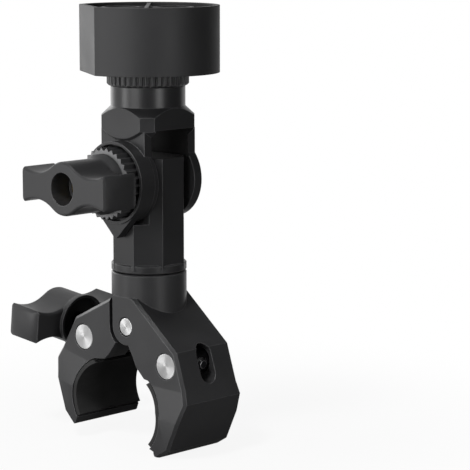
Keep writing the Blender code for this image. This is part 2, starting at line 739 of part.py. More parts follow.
def socket_screw(name, shank_end, seat, head_end, shank_radius, head_radius, look):
    """A socket-head screw along its axis: the end of the shank, the head's seat and the head's face."""
    shank_end, seat, head_end = Vector(shank_end), Vector(seat), Vector(head_end)
    along = (shank_end - seat).normalized()
    head, length = (head_end - seat).length, (shank_end - head_end).length
    edge = HEAD_EDGE
    profile = [(0, length), (shank_radius - edge, length), (shank_radius, length - edge), (shank_radius, head),
               (head_radius, head), (head_radius, edge), (head_radius - edge, 0), (0, 0)]
    made = turned(name, profile, head_end, along, 32)
    socket = cylinder(name + "_socket", HEX_SOCKET / 2 / cos(pi / 6), head_end - along * BEYOND,
                      head_end + along * head * SOCKET_SHARE, 6)
    boolean(made, socket)
    return finish(made, look)


def edged_disc(name, radius, bottom, top):
    """An upright disc with a fine chamfer round each end."""
    edge = RIM_EDGE
    profile = [(0, top), (radius - edge, top), (radius, top - edge), (radius, bottom + edge),
               (radius - edge, bottom), (0, bottom)]
    return turned(name, profile, (0, 0, 0), (0, 0, 1), 64)


def octagon(flats):
    """A regular octagon with flats square to the axes."""
    return arc((0, 0), flats / 2 / cos(pi / 8), pi / 8, 2 * pi - pi / 8, 7)


def tilt_post():
    """The octagonal post, with a round flange below and a tongue between the head's ears."""
    post = plate("tilt_post", octagon(POST_FLATS), FLANGE_BOTTOM_Z + FLANGE_HEIGHT / 2, HINGE_Z + TONGUE_RISE, "Z")
    flange = edged_disc("post_flange", COLLAR_RADIUS, FLANGE_BOTTOM_Z, FLANGE_TOP_Z)
    boolean(post, flange, "UNION")
    notch_floor = HINGE_Z - NOTCH_DROP
    for side, name in ((1, "back_notch"), (-1, "front_notch")):
        near, far = sorted((side * TONGUE_HALF, side * FAR))
        boolean(post, box(name, (-FAR, near, notch_floor), (FAR, far, HINGE_Z + FAR)))
    boolean(post, crosswise("tilt_bore", TILT_BOLT_RADIUS + SHAFT_GAP, HINGE, POST_FLATS, 32))
    boolean(post, upright("base_thread", BASE_SCREW_RADIUS + SEAT_GAP, FLANGE_BOTTOM_Z - BEYOND,
                          FLANGE_BOTTOM_Z + BASE_SCREW_GRIP + SEAT_GAP, 32))
    return finish(post, PAINT)


def ear_outline():
    """An ear seen along Y: a round eye about the hinge and straight sides up to the block."""
    turn = atan2(sqrt(EAR_RADIUS ** 2 - EAR_HALF_WIDTH ** 2), EAR_HALF_WIDTH)
    eye = arc((0, HINGE_Z), EAR_RADIUS, turn, -pi - turn, 40)
    top = HINGE_Z + BLOCK_CORNER_RISE - SINK
    return [*eye, (-EAR_HALF_WIDTH, top), (EAR_HALF_WIDTH, top)]


def pointer_outline():
    """A drop about the hinge whose point hangs straight down."""
    side = radians(45)
    tip = (0, HINGE_Z - POINTER_REACH + POINTER_ROUND)
    round_tip = arc(tip, POINTER_ROUND, -pi + side, -side, 6)
    eye = arc((0, HINGE_Z), FRONT_BOSS_RADIUS - SINK, -side, pi + side, 36)
    return round_tip + eye


def block_hull():
    """The turned shape that rounds the block's top and bottom corners like those of a nut."""
    corner = hypot(BLOCK_WIDTH / 2, BLOCK_WIDTH / 2 - BLOCK_CORNER)
    low = BLOCK_WIDTH / 2 - BLOCK_EDGE
    top = HINGE_Z + BLOCK_CORNER_TOP_RISE + corner - NECK_RADIUS
    bottom = HINGE_Z + BLOCK_CORNER_RISE
    profile = [(0, NECK_TOP_Z), (NECK_RADIUS, NECK_TOP_Z), (NECK_RADIUS, top),
               (corner + SINK, HINGE_Z + BLOCK_CORNER_TOP_RISE), (corner + SINK, bottom),
               (low, bottom - (corner - low)), (0, bottom - (corner - low))]
    return turned("block_hull", profile, (0, 0, 0), (0, 0, 1), 64)


def hinge_disc(name, radius, front, back, segments=48):
    """A cylinder on the tilt axis between two places along Y."""
    return cylinder(name, radius, (0, front, HINGE_Z), (0, back, HINGE_Z), segments)


def clevis_head():
    """The square block with its neck, two ears, the toothed drum's boss and the pointer."""
    half, cut = BLOCK_WIDTH / 2, BLOCK_CORNER
    corners = [(half, cut - half), (half, half - cut), (half - cut, half), (cut - half, half),
               (-half, half - cut), (-half, cut - half), (cut - half, -half), (half - cut, -half)]
    head = plate("clevis_head", corners, HINGE_Z + BLOCK_START_RISE, NECK_TOP_Z + BEYOND, "Z")
    boolean(head, block_hull(), "INTERSECT")
    boolean(head, plate("ears", ear_outline(), -EAR_OUTER, EAR_OUTER), "UNION")
    boss_back = -EAR_INNER - EAR_THICKNESS / 2
    boolean(head, hinge_disc("front_boss", FRONT_BOSS_RADIUS, -FRONT_BOSS_REACH, boss_back, 64), "UNION")
    boolean(head, plate("pointer", pointer_outline(), -POINTER_FRONT, -POINTER_BACK), "UNION")
    boolean(head, hinge_disc("back_boss", BACK_BOSS_RADIUS, EAR_INNER + BEYOND, BACK_BOSS_REACH), "UNION")
    gap_top = HINGE_Z + BLOCK_CORNER_RISE
    boolean(head, box("ear_gap", (-FAR, -EAR_INNER, HINGE_Z - FAR), (FAR, EAR_INNER, gap_top)))
    recess_floor = -FRONT_BOSS_REACH + DRUM_RECESS_DEPTH
    boolean(head, hinge_disc("drum_recess", DRUM_RADIUS + DRUM_CLEARANCE, -FAR, recess_floor, 64))
    boolean(head, crosswise("head_bolt_bore", TILT_BOLT_RADIUS + SHAFT_GAP, HINGE, FAR, 32))
    boolean(head, hinge_disc("bolt_head_recess", TILT_HEAD_RADIUS + SEAT_GAP, TILT_HEAD_SEAT - SEAT_GAP, FAR, 32))
    stud_floor = NECK_TOP_Z - STUD_SINK - SEAT_GAP
    boolean(head, upright("stud_bore", STUD_RADIUS + SEAT_GAP, stud_floor, NECK_TOP_Z + FAR, 32))
    return finish(head, PAINT)


def tilt_drum():
    """The toothed drum between the tilt knob and the head's front boss."""
    back = -FRONT_BOSS_REACH + DRUM_RECESS_DEPTH - SEAT_GAP
    drum = plate("tilt_drum", toothed_outline(DRUM_RADIUS, DRUM_ROOT_RADIUS, DRUM_TEETH), -DRUM_FACE, back)
    drum.data.transform(Matrix.Translation((0, 0, HINGE_Z)))
    boolean(drum, hinge_disc("drum_bore", TILT_BOLT_RADIUS + SHAFT_GAP, -FAR, 0, 32))
    return finish(drum, PLASTIC)


def lock_ring():
    """The ribbed ring that locks the cup on its stud."""
    top, cone_top = RING_BOTTOM_Z + RING_HEIGHT, RING_BOTTOM_Z + RING_CONE_HEIGHT
    outline = toothed_outline(RING_RADIUS, RING_ROOT_RADIUS, RING_TEETH, RING_TIP_SHARE)
    rim = plate("lock_ring", outline, RING_BOTTOM_Z, top, "Z")
    hull = turned("ring_hull", [
        (0, top + BEYOND), (RING_RADIUS + BEYOND, top + BEYOND), (RING_RADIUS + BEYOND, cone_top),
        (RING_RADIUS - RING_CONE_INSET, RING_BOTTOM_Z - SINK), (0, RING_BOTTOM_Z - SINK),
    ], (0, 0, 0), (0, 0, 1), 64)
    boolean(rim, hull, "INTERSECT")
    boolean(rim, upright("ring_bore", STUD_RADIUS + SEAT_GAP, RING_BOTTOM_Z - BEYOND, top + BEYOND, 32))
    return finish(rim, PLASTIC)


def cup_outline(inset):
    """The cup's D shape, drawn in by `inset` from its outer wall."""
    radius, flat = CUP_RADIUS - inset, CUP_FLAT - inset
    turn = atan2(sqrt(radius ** 2 - flat ** 2), flat)
    return arc((0, 0), radius, CUP_FLAT_ANGLE + turn, CUP_FLAT_ANGLE + 2 * pi - turn, 60)


def across(name, angle, half_length, low, high):
    """An upright web through the cup's axis, turned to `angle`."""
    web = box(name, (-half_length, -CUP_RIB / 2, low), (half_length, CUP_RIB / 2, high))
    web.data.transform(Matrix.Rotation(angle, 4, "Z"))
    return web


def cup_adapter():
    """The open D-shaped cup: one moulding with a thick floor, a cross web and two tubes."""
    floor, rib_top = CUP_BOTTOM_Z + CUP_FLOOR, CUP_TOP_Z - CUP_RIB_DROP
    cup = plate("cup_adapter", cup_outline(0), CUP_BOTTOM_Z, CUP_TOP_Z, "Z")
    boolean(cup, plate("cup_hollow", cup_outline(CUP_WALL), floor, CUP_TOP_Z + BEYOND, "Z"))
    rib = across("cup_rib", CUP_RIB_ANGLE, CUP_RADIUS - CUP_WALL / 2, floor - 3 * SINK, rib_top)
    boolean(cup, rib, "UNION")
    web = across("cup_web", CUP_RIB_ANGLE - pi / 2, TUBE_OFFSET, floor - 2 * SINK, rib_top - SINK)
    boolean(cup, web, "UNION")
    direction = Vector((sin(CUP_RIB_ANGLE), -cos(CUP_RIB_ANGLE), 0))
    for side, word in ((1, "right"), (-1, "left")):
        foot = direction * TUBE_OFFSET * side
        low, high = foot + Vector((0, 0, floor - SINK)), foot + Vector((0, 0, rib_top - 2 * SINK))
        boolean(cup, cylinder(f"{word}_tube", TUBE_RADIUS, low, high, 32), "UNION")
        boolean(cup, cylinder(f"{word}_tube_bore", TUBE_BORE, foot + Vector((0, 0, floor)),
                              foot + Vector((0, 0, CUP_TOP_Z + BEYOND)), 32))
    boolean(cup, upright("cup_insert_recess", CUP_INSERT_RADIUS + SEAT_GAP, CUP_BOTTOM_Z - BEYOND,
                         CUP_BOTTOM_Z + CUP_INSERT_DEPTH + SEAT_GAP, 32))
    return finish(cup, PLASTIC)


def cup_fixings():
    """The stud in the head's neck and the insert in the cup's floor that it screws into."""
    low, high = NECK_TOP_Z - STUD_SINK, CUP_BOTTOM_Z + CUP_INSERT_DEPTH - STUD_END_GAP
    edge = STUD_EDGE
    profile = [(0, high - low), (STUD_RADIUS - edge, high - low), (STUD_RADIUS, high - low - edge),
               (STUD_RADIUS, edge), (STUD_RADIUS - edge, 0), (0, 0)]
    stud = finish(turned("cup_stud", profile, (0, 0, low), (0, 0, 1), 32), STEEL)
    insert = ring("cup_insert", STUD_RADIUS + SEAT_GAP, CUP_INSERT_RADIUS, (0, 0, CUP_BOTTOM_Z),
                  (0, 0, CUP_BOTTOM_Z + CUP_INSERT_DEPTH), BRASS, 32)
    return stud, insert


def base_fixings():
    """The swivel's friction washer, and the screw and spring washer that hold the post from below."""
    washer_bottom = COLLAR_TOP_Z - SWIVEL_RECESS_DEPTH + SEAT_GAP
    ring("swivel_washer", BASE_SCREW_RADIUS + SEAT_GAP, SWIVEL_WASHER_RADIUS, (0, 0, washer_bottom),
         (0, 0, FLANGE_BOTTOM_Z - SEAT_GAP), PLASTIC)
    ceiling = SHOULDER_Z + BASE_RECESS_RISE - SEAT_GAP
    ring("base_spring_washer", BASE_SCREW_RADIUS + SEAT_GAP, BASE_HEAD_RADIUS - SEAT_GAP,
         (0, 0, ceiling - BASE_WASHER_THICKNESS), (0, 0, ceiling), DARK_STEEL, 32)
    seat = ceiling - BASE_WASHER_THICKNESS - SEAT_GAP
    socket_screw("base_screw", (0, 0, FLANGE_BOTTOM_Z + BASE_SCREW_GRIP), (0, 0, seat),
                 (0, 0, seat - BASE_HEAD_HEIGHT), BASE_SCREW_RADIUS, BASE_HEAD_RADIUS - SEAT_GAP, DARK_STEEL)


def tilt_fixings():
    """The bolt through the hinge and the thrust washer inside the tilt knob's cup."""
    end = -TILT_KNOB_FACE + HUB_BORE_DEPTH + INSERT_END_GAP
    socket_screw("tilt_bolt", (0, end, HINGE_Z), (0, TILT_HEAD_SEAT, HINGE_Z),
                 (0, TILT_HEAD_SEAT + TILT_HEAD_HEIGHT, HINGE_Z), TILT_BOLT_RADIUS, TILT_HEAD_RADIUS, STEEL)
    flange = -DRUM_FACE - SEAT_GAP
    ring("tilt_thrust_washer", TILT_BOLT_RADIUS + SHAFT_GAP, KNOB_CUP_RADIUS - SEAT_GAP,
         (0, flange - KNOB_CUP_DEPTH + SEAT_GAP, HINGE_Z), (0, flange, HINGE_Z), STEEL, 40)


def axis_empty(name, place):
    """An empty on a joint's axis, for the pieces that turn about it."""
    marker = bpy.data.objects.new(name, None)
    marker.empty_display_size = 0.01
    marker.location = place
    PARTS.objects.link(marker)
    return marker


def carry(carrier, names):
    """Parents the named pieces to `carrier` without moving them."""
    bpy.context.view_layer.update()
    for name in names:
        piece = PARTS.objects[name]
        place = piece.matrix_world.copy()
        piece.parent = carrier
        piece.matrix_parent_inverse = carrier.matrix_world.inverted()
        piece.matrix_world = place


def build():
    """Makes every piece, then parents it to the axis that it turns about."""
    fixed_jaw()
    moving_jaw()
    pad("fixed_pad", FIXED_PAD_CENTRE, same)
    pad("moving_pad", MOVING_PAD_CENTRE, to_moving)
    pin("pivot_pin", PIVOT, PIVOT_PIN_RADIUS)
    pin("fixed_trunnion", FIXED_TRUNNION, TRUNNION_RADIUS, SCREW_RADIUS + SHAFT_GAP)
    pin("moving_trunnion", MOVING_TRUNNION, TRUNNION_RADIUS, SCREW_RADIUS + SHAFT_GAP)
    clamp_screw()
    thrust_sleeve()
    wing_knob("clamp_knob", CLAMP_HUB_LENGTH, CLAMP_FLANGE_RADIUS, SCREW_RADIUS, clamp_knob_frame())
    knob_insert("clamp_knob_insert", CLAMP_HUB_LENGTH, SCREW_RADIUS, clamp_knob_frame())
    base_fixings()
    tilt_post()
    clevis_head()
    tilt_fixings()
    tilt_drum()
    hub_length = TILT_KNOB_FACE - DRUM_FACE - SEAT_GAP
    wing_knob("tilt_knob", hub_length, TILT_FLANGE_RADIUS, TILT_BOLT_RADIUS, tilt_knob_frame())
    knob_insert("tilt_knob_insert", hub_length, TILT_BOLT_RADIUS, tilt_knob_frame())
    cup_fixings()
    lock_ring()
    cup_adapter()
    jaw_axis = axis_empty("jaw_axis", PIVOT)
    carry(jaw_axis, ["moving_jaw", "moving_pad"])
    carry(axis_empty("moving_trunnion_axis", MOVING_TRUNNION), ["moving_trunnion"])
    carry(axis_empty("screw_axis", MOVING_TRUNNION),
          ["clamp_screw", "thrust_sleeve", "clamp_knob", "clamp_knob_insert"])
    carry(axis_empty("fixed_trunnion_axis", FIXED_TRUNNION), ["fixed_trunnion"])
    carry(axis_empty("swivel_axis", (0, 0, FLANGE_BOTTOM_Z)), ["tilt_post"])
    carry(axis_empty("tilt_axis", (0, 0, HINGE_Z)), ["clevis_head", "tilt_bolt", "cup_stud"])
    carry(axis_empty("tilt_knob_axis", (0, 0, HINGE_Z)),
          ["tilt_knob", "tilt_knob_insert", "tilt_drum", "tilt_thrust_washer"])
    carry(axis_empty("cup_axis", (0, 0, CUP_BOTTOM_Z)), ["cup_adapter", "cup_insert", "lock_ring"])


build()
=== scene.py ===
"""Looks of the pipe clamp mount: coated castings, moulded knobs and cup, turned pins and rubber pads.

Lengths are in metres in the part's own frame: X runs along the clamp screw, Y along the gripped pipe and Z
along the post.
"""

import json
import logging
from dataclasses import dataclass
from enum import Enum
from math import cos, pi, radians, sin, tan

import bpy
from mathutils import Matrix, Vector

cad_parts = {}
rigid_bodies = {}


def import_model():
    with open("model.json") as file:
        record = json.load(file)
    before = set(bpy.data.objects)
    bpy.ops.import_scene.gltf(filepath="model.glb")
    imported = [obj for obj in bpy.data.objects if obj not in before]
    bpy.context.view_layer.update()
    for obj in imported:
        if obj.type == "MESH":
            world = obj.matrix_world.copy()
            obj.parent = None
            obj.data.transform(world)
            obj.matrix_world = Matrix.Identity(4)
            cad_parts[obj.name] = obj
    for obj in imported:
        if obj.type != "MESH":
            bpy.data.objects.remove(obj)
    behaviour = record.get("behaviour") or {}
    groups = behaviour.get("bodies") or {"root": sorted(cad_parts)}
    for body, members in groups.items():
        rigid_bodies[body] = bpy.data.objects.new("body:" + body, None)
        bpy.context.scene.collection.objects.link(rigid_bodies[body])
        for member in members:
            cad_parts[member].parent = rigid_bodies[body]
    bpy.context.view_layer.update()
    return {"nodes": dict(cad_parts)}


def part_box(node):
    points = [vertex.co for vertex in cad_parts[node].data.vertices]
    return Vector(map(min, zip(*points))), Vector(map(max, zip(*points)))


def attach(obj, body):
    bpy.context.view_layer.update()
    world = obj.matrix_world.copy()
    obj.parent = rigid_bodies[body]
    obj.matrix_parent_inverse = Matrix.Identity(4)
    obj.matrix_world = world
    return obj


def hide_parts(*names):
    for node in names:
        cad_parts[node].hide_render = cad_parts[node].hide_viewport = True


LOG = logging.getLogger("pipe_clamp_mount")
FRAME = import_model()

Tree, Node, Socket = bpy.types.NodeTree, bpy.types.Node, bpy.types.NodeSocket
Piece, Material = bpy.types.Object, bpy.types.Material

# The heights of the patches' noise between which one shade turns into the other.
PATCH_FADE = (0.3, 0.7)
# The cosine between the rounded normal and the face's own where an edge begins to turn pale, as partly wear
# and partly painted highlight, and where it does fully, and the number of samples that round it.
WEAR_AND_HIGHLIGHT_BEND = (0.999, 0.93)
EDGE_SAMPLES = 6
# The share of a face's normal along an axis up to which it is a side, and from which it is an end.
END_ON_FADE = (0.6, 0.8)

# The length of one ring of the wave texture at a scale of 1.
WAVE_LENGTH = 2 * pi / 20

# Points of a copied node that lie this close are joined, and faces within this many degrees are one face.
WELD_DISTANCE = 0.000004
FLAT_WITHIN = 0.4
# The least angle of an edge that is rounded, and the greatest of one that is shaded smooth, in degrees.
ROUND_OVER = 34.0
SMOOTH_UNDER = 30.0
# Where a piece is shaded, how strongly its large faces count against its small ones: 50 is even.
LARGE_FACE_WEIGHT = 60


class Slot(Enum):
    """The material slots of the part's record."""

    CASTING = "casting"
    MOULDING = "moulding"
    PAD = "pad"
    PIN = "pin"
    DARK_SCREW = "dark_screw"


class Body(Enum):
    """The bodies that pieces ride on."""

    CLAMP = "clamp"
    MOVING_JAW = "moving_jaw"
    MOVING_TRUNNION = "moving_trunnion"
    SCREW = "screw"
    FIXED_TRUNNION = "fixed_trunnion"
    POST = "post"
    HEAD = "head"
    TILT_KNOB = "tilt_knob"
    RING = "ring"
    CUP = "cup"


def linear(code: str) -> tuple[float, float, float, float]:
    """Turns an sRGB colour into the linear values that a shader takes.

    Args:
        code: The colour as six hex digits after a hash sign.

    Returns:
        Red, green, blue and a full alpha.
    """
    shares = [int(code[i:i + 2], 16) / 255 for i in (1, 3, 5)]
    red, green, blue = (s / 12.92 if s <= 0.04045 else ((s + 0.055) / 1.055) ** 2.4 for s in shares)
    return red, green, blue, 1.0


def per_metre(millimetres: float) -> float:
    """Returns a noise scale whose features are about this many millimetres wide."""
    return 1000 / millimetres


def rings_per_metre(millimetres: float) -> float:
    """Returns a wave scale whose rings are this many millimetres apart."""
    return WAVE_LENGTH * 1000 / millimetres


def add_node(tree: Tree, kind: str, inputs: dict | None = None, **settings: object) -> Node:
    """Adds a node with its settings, and sets or links its inputs.

    Args:
        tree: The node tree that gets the node.
        kind: The node's Blender type name.
        inputs: A constant or another node's output for each named or numbered input.
        **settings: The node's own properties.

    Returns:
        The new node.
    """
    node = tree.nodes.new(kind)
    for name, value in settings.items():
        setattr(node, name, value)
    for name, value in (inputs or {}).items():
        if isinstance(value, Socket):
            tree.links.new(value, node.inputs[name])
        else:
            node.inputs[name].default_value = value
    return node


@dataclass(frozen=True)
class Finish:
    """What every finish has: soft patches of two shades, a grain, uneven gloss and pale edges of wear and
    painted highlight.

    Attributes:
        name: The material's name, after the real material and how it was made.
        dark: The darker shade, as sRGB hex.
        light: The lighter shade, as sRGB hex.
        edge: The shade of the edges, partly wear and partly painted highlight, as sRGB hex.
        roughness: The lowest and the highest roughness.
        patch_mm: The width of the soft patches of colour and gloss.
        grain_mm: The width of the surface's grains.
        grain_depth_mm: The height of the grains.
        edge_mm: The radius that the edges are rounded to.
        edge_wear_and_highlight: How much of the edge's shade shows, from 0 to 1.
        metallic: 1 for bare metal and 0 for the rest.
        specular: The shader's specular level, 0.5 for most materials.
    """

    name: str
    dark: str
    light: str
    edge: str
    roughness: tuple[float, float]
    patch_mm: float = 18.0
    grain_mm: float = 1.0
    grain_depth_mm: float = 0.02
    edge_mm: float = 0.35
    edge_wear_and_highlight: float = 0.5
    metallic: float = 0.0
    specular: float = 0.5

    def position(self, tree: Tree) -> Socket:
        """Returns the place on the piece that the patterns are drawn from."""
        return add_node(tree, "ShaderNodeTexCoord").outputs["Object"]

    def grain(self, tree: Tree, place: Socket) -> Socket:
        """Returns the height of the surface's grain, from 0 to 1."""
        noise = {"Vector": place, "Scale": per_metre(self.grain_mm), "Detail": 2.0, "Roughness": 0.55}
        return add_node(tree, "ShaderNodeTexNoise", noise).outputs["Fac"]

    def finishing_touch(self, tree: Tree, place: Socket, shader: Node) -> None:
        """Sets what only this kind of finish has."""

    @staticmethod
    def recolour(tree: Tree, shader: Node, axis: tuple[float, float, float],
                 sides: str | None = None, ends: str | None = None) -> None:
        """Gives the faces along an axis, or those around it, another shade, which paints light and shade by
        where a face looks.

        Args:
            tree: The material's node tree.
            shader: The material's shader.
            axis: The axis.
            sides: The shade of the faces around the axis as sRGB hex, or None to keep theirs.
            ends: The shade of the faces along the axis as sRGB hex, or None to keep theirs.
        """
        facing = {0: add_node(tree, "ShaderNodeTexCoord").outputs["Normal"], 1: axis}
        ahead = add_node(tree, "ShaderNodeVectorMath", facing, operation="DOT_PRODUCT").outputs["Value"]
        along = add_node(tree, "ShaderNodeMath", {0: ahead}, operation="ABSOLUTE").outputs["Value"]
        end_on = add_node(tree, "ShaderNodeMapRange", {
            "Value": along, "From Min": END_ON_FADE[0], "From Max": END_ON_FADE[1]}).outputs["Result"]
        colour = shader.inputs["Base Color"].links[0].from_socket
        shade = add_node(tree, "ShaderNodeMix", {
            "Factor": end_on, "A": linear(sides) if sides else colour, "B": linear(ends) if ends else colour},
            data_type="RGBA").outputs["Result"]
        tree.links.new(shade, shader.inputs["Base Color"])

    def build(self) -> Material:
        """Makes the material.

        Returns:
            The finished material.
        """
        material = bpy.data.materials.new(self.name)
        material.use_nodes = True
        tree = material.node_tree
        shader = tree.nodes["Principled BSDF"]
        place = self.position(tree)
        patches = add_node(tree, "ShaderNodeTexNoise", {
            "Vector": place, "Scale": per_metre(self.patch_mm), "Detail": 4.0,
            "Roughness": 0.6}).outputs["Fac"]
        softened = add_node(tree, "ShaderNodeMapRange", {
            "Value": patches, "From Min": PATCH_FADE[0], "From Max": PATCH_FADE[1]}).outputs["Result"]
        coat = add_node(tree, "ShaderNodeMix", {
            "Factor": softened, "A": linear(self.dark), "B": linear(self.light)},
            data_type="RGBA").outputs["Result"]
        # The edges turn pale where the rounded normal bends away from the face's own: partly wear, partly
        # painted highlight.
        rounded = add_node(tree, "ShaderNodeBevel", {
            "Radius": self.edge_mm / 1000}, samples=EDGE_SAMPLES).outputs["Normal"]
        facing = add_node(tree, "ShaderNodeNewGeometry").outputs["Normal"]
        bend = add_node(tree, "ShaderNodeVectorMath", {
            0: rounded, 1: facing}, operation="DOT_PRODUCT").outputs["Value"]
        wear_and_highlight_share = add_node(tree, "ShaderNodeMapRange", {
            "Value": bend, "From Min": WEAR_AND_HIGHLIGHT_BEND[0], "From Max": WEAR_AND_HIGHLIGHT_BEND[1],
            "To Max": self.edge_wear_and_highlight}).outputs["Result"]
        colour = add_node(tree, "ShaderNodeMix", {
            "Factor": wear_and_highlight_share, "A": coat, "B": linear(self.edge)}, data_type="RGBA").outputs["Result"]
        gloss = add_node(tree, "ShaderNodeMapRange", {
            "Value": softened, "To Min": self.roughness[0], "To Max": self.roughness[1]}).outputs["Result"]
        bump = add_node(tree, "ShaderNodeBump", {
            "Height": self.grain(tree, place), "Distance": self.grain_depth_mm / 1000, "Strength": 1.0,
            "Normal": rounded}).outputs["Normal"]
        shader.inputs["Metallic"].default_value = self.metallic
        if not self.metallic:
            shader.inputs["Specular IOR Level"].default_value = self.specular
        tree.links.new(colour, shader.inputs["Base Color"])
        tree.links.new(gloss, shader.inputs["Roughness"])
        tree.links.new(bump, shader.inputs["Normal"])
        self.finishing_touch(tree, place, shader)
        return material


@dataclass(frozen=True)
class TurnedFinish(Finish):
    """A finish with the fine rings that a lathe leaves about one axis.

    Attributes:
        centre: A point on the lathe's axis.
        axis: The direction of the lathe's axis.
        ring_mm: The distance between the rings.
        side: The painted shade of the sides, darker than the ends, as sRGB hex.
        stretch: How far the rings stretch the highlights, from 0 to 1.
    """

    centre: tuple[float, float, float] = (0.0, 0.0, 0.0)
    axis: tuple[float, float, float] = (0.0, 1.0, 0.0)
    ring_mm: float = 0.45
    # The sides are painted darker than the ends, as shade.
    side: str = "#38383a"
    stretch: float = 0.55

    def position(self, tree: Tree) -> Socket:
        """Measures the place on the piece from the lathe's axis.

        Args:
            tree: The material's node tree.

        Returns:
            The place.
        """
        place = add_node(tree, "ShaderNodeTexCoord").outputs["Object"]
        shift = {0: place, 1: self.centre}
        return add_node(tree, "ShaderNodeVectorMath", shift, operation="SUBTRACT").outputs["Vector"]

    def grain(self, tree: Tree, place: Socket) -> Socket:
        """Draws the turned rings about the lathe's axis.

        Args:
            tree: The material's node tree.
            place: The place, measured from the lathe's axis.

        Returns:
            The rings' height, from 0 to 1.
        """
        along = {0: place, 1: self.axis}
        height = add_node(tree, "ShaderNodeVectorMath", along, operation="DOT_PRODUCT").outputs["Value"]
        scaled = {0: self.axis, "Scale": height}
        on_axis = add_node(tree, "ShaderNodeVectorMath", scaled, operation="SCALE").outputs["Vector"]
        outward = {0: place, 1: on_axis}
        spoke = add_node(tree, "ShaderNodeVectorMath", outward, operation="SUBTRACT").outputs["Vector"]
        rings = {"Vector": spoke, "Scale": rings_per_metre(self.ring_mm), "Distortion": 0.4, "Detail": 1.0}
        return add_node(tree, "ShaderNodeTexWave", rings, wave_type="RINGS",
                        rings_direction="SPHERICAL").outputs["Fac"]

    def finishing_touch(self, tree: Tree, place: Socket, shader: Node) -> None:
        """Stretches the highlights into a turned face's two bright fans, and paints shade on the sides.

        Args:
            tree: The material's node tree.
            place: The place, measured from the lathe's axis.
            shader: The material's shader.
        """
        around = {0: self.axis, 1: place}
        groove = add_node(tree, "ShaderNodeVectorMath", around, operation="CROSS_PRODUCT").outputs["Vector"]
        turned = add_node(tree, "ShaderNodeVectorTransform", {"Vector": groove}, vector_type="VECTOR",
                          convert_from="OBJECT", convert_to="WORLD").outputs["Vector"]
        shader.inputs["Anisotropic"].default_value = self.stretch
        tree.links.new(turned, shader.inputs["Tangent"])
        self.recolour(tree, shader, self.axis, sides=self.side)


@dataclass(frozen=True)
class PaintedEndsFinish(Finish):
    """A finish whose end faces are painted lighter as highlight.

    Attributes:
        axis: The direction that the end faces look along.
        ends: Their painted highlight shade, as sRGB hex.
    """

    axis: tuple[float, float, float] = (0.0, 1.0, 0.0)
    ends: str = "#808080"

    def finishing_touch(self, tree: Tree, place: Socket, shader: Node) -> None:
        """Paints the end faces lighter as highlight."""
        self.recolour(tree, shader, self.axis, ends=self.ends)


@dataclass(frozen=True)
class BandedFinish(Finish):
    """A finish that is smoother above one height, where the casting was turned, and painted flat black inside
    a fork as shadow.

    Attributes:
        band_z: The height at which the turned part begins.
        band_roughness: Its roughness.
        band_fade: Half the height over which the roughness changes.
        fork_half: Half the fork's width, along Y.
        fork_z: The heights between which the fork is black.
        painted_fork_shadow: The painted shadow inside the fork, as sRGB hex.
        fork_roughness: The roughness inside the fork.
        fork_fade: Half the width over which the shade changes.
    """

    band_z: float = 0.0
    band_roughness: float = 0.25
    band_fade: float = 0.0003
    fork_half: float = 0.01
    fork_z: tuple[float, float] = (0.0, 0.0)
    painted_fork_shadow: str = "#080808"
    fork_roughness: float = 0.9
    fork_fade: float = 0.0001

    def in_fork(self, tree: Tree, place: Node) -> Socket:
        """Marks the inside of the fork.

        Args:
            tree: The material's node tree.
            place: The node that holds the place's coordinates.

        Returns:
            1 inside the fork and 0 elsewhere.
        """
        height = place.outputs["Z"]
        across = add_node(tree, "ShaderNodeMath", {
            0: place.outputs["Y"]}, operation="ABSOLUTE").outputs["Value"]
        share = add_node(tree, "ShaderNodeMapRange", {
            "Value": across, "From Min": self.fork_half + self.fork_fade,
            "From Max": self.fork_half - self.fork_fade}).outputs["Result"]
        for limit, fade in zip(self.fork_z, (-self.fork_fade, self.fork_fade)):
            within = add_node(tree, "ShaderNodeMapRange", {
                "Value": height, "From Min": limit + fade, "From Max": limit - fade}).outputs["Result"]
            share = add_node(tree, "ShaderNodeMath", {
                0: share, 1: within}, operation="MULTIPLY").outputs["Value"]
        return share

    def finishing_touch(self, tree: Tree, place: Socket, shader: Node) -> None:
        """Lowers the roughness above the band's height and paints a flat black shadow inside the fork.

        Args:
            tree: The material's node tree.
            place: The place on the piece.
            shader: The material's shader.
        """
        parts = add_node(tree, "ShaderNodeSeparateXYZ", {"Vector": place})
        height = parts.outputs["Z"]
        inside = self.in_fork(tree, parts)
        colour = shader.inputs["Base Color"].links[0].from_socket
        # Painted shadow: the colour turns flat black inside the fork.
        shade = add_node(tree, "ShaderNodeMix", {
            "Factor": inside, "A": colour, "B": linear(self.painted_fork_shadow)}, data_type="RGBA").outputs["Result"]
        tree.links.new(shade, shader.inputs["Base Color"])
        above = add_node(tree, "ShaderNodeMapRange", {
            "Value": height, "From Min": self.band_z - self.band_fade,
            "From Max": self.band_z + self.band_fade}).outputs["Result"]
        coated = shader.inputs["Roughness"].links[0].from_socket
        turned = add_node(tree, "ShaderNodeMix", {"Factor": above, "A": coated, "B": self.band_roughness})
        gloss = add_node(tree, "ShaderNodeMix", {
            "Factor": inside, "A": turned.outputs["Result"], "B": self.fork_roughness})
        tree.links.new(gloss.outputs["Result"], shader.inputs["Roughness"])


# Powder-coated die-cast aluminium: satin black, with the coat's faint orange peel and paler edges, partly
# wear and partly painted highlight.
COATED_CASTING = Finish(
    "coated_cast_aluminium", "#303031", "#363637", "#646465", (0.34, 0.42), patch_mm=22, grain_mm=1.1,
    grain_depth_mm=0.012, edge_mm=0.4, edge_wear_and_highlight=0.7, specular=0.3)

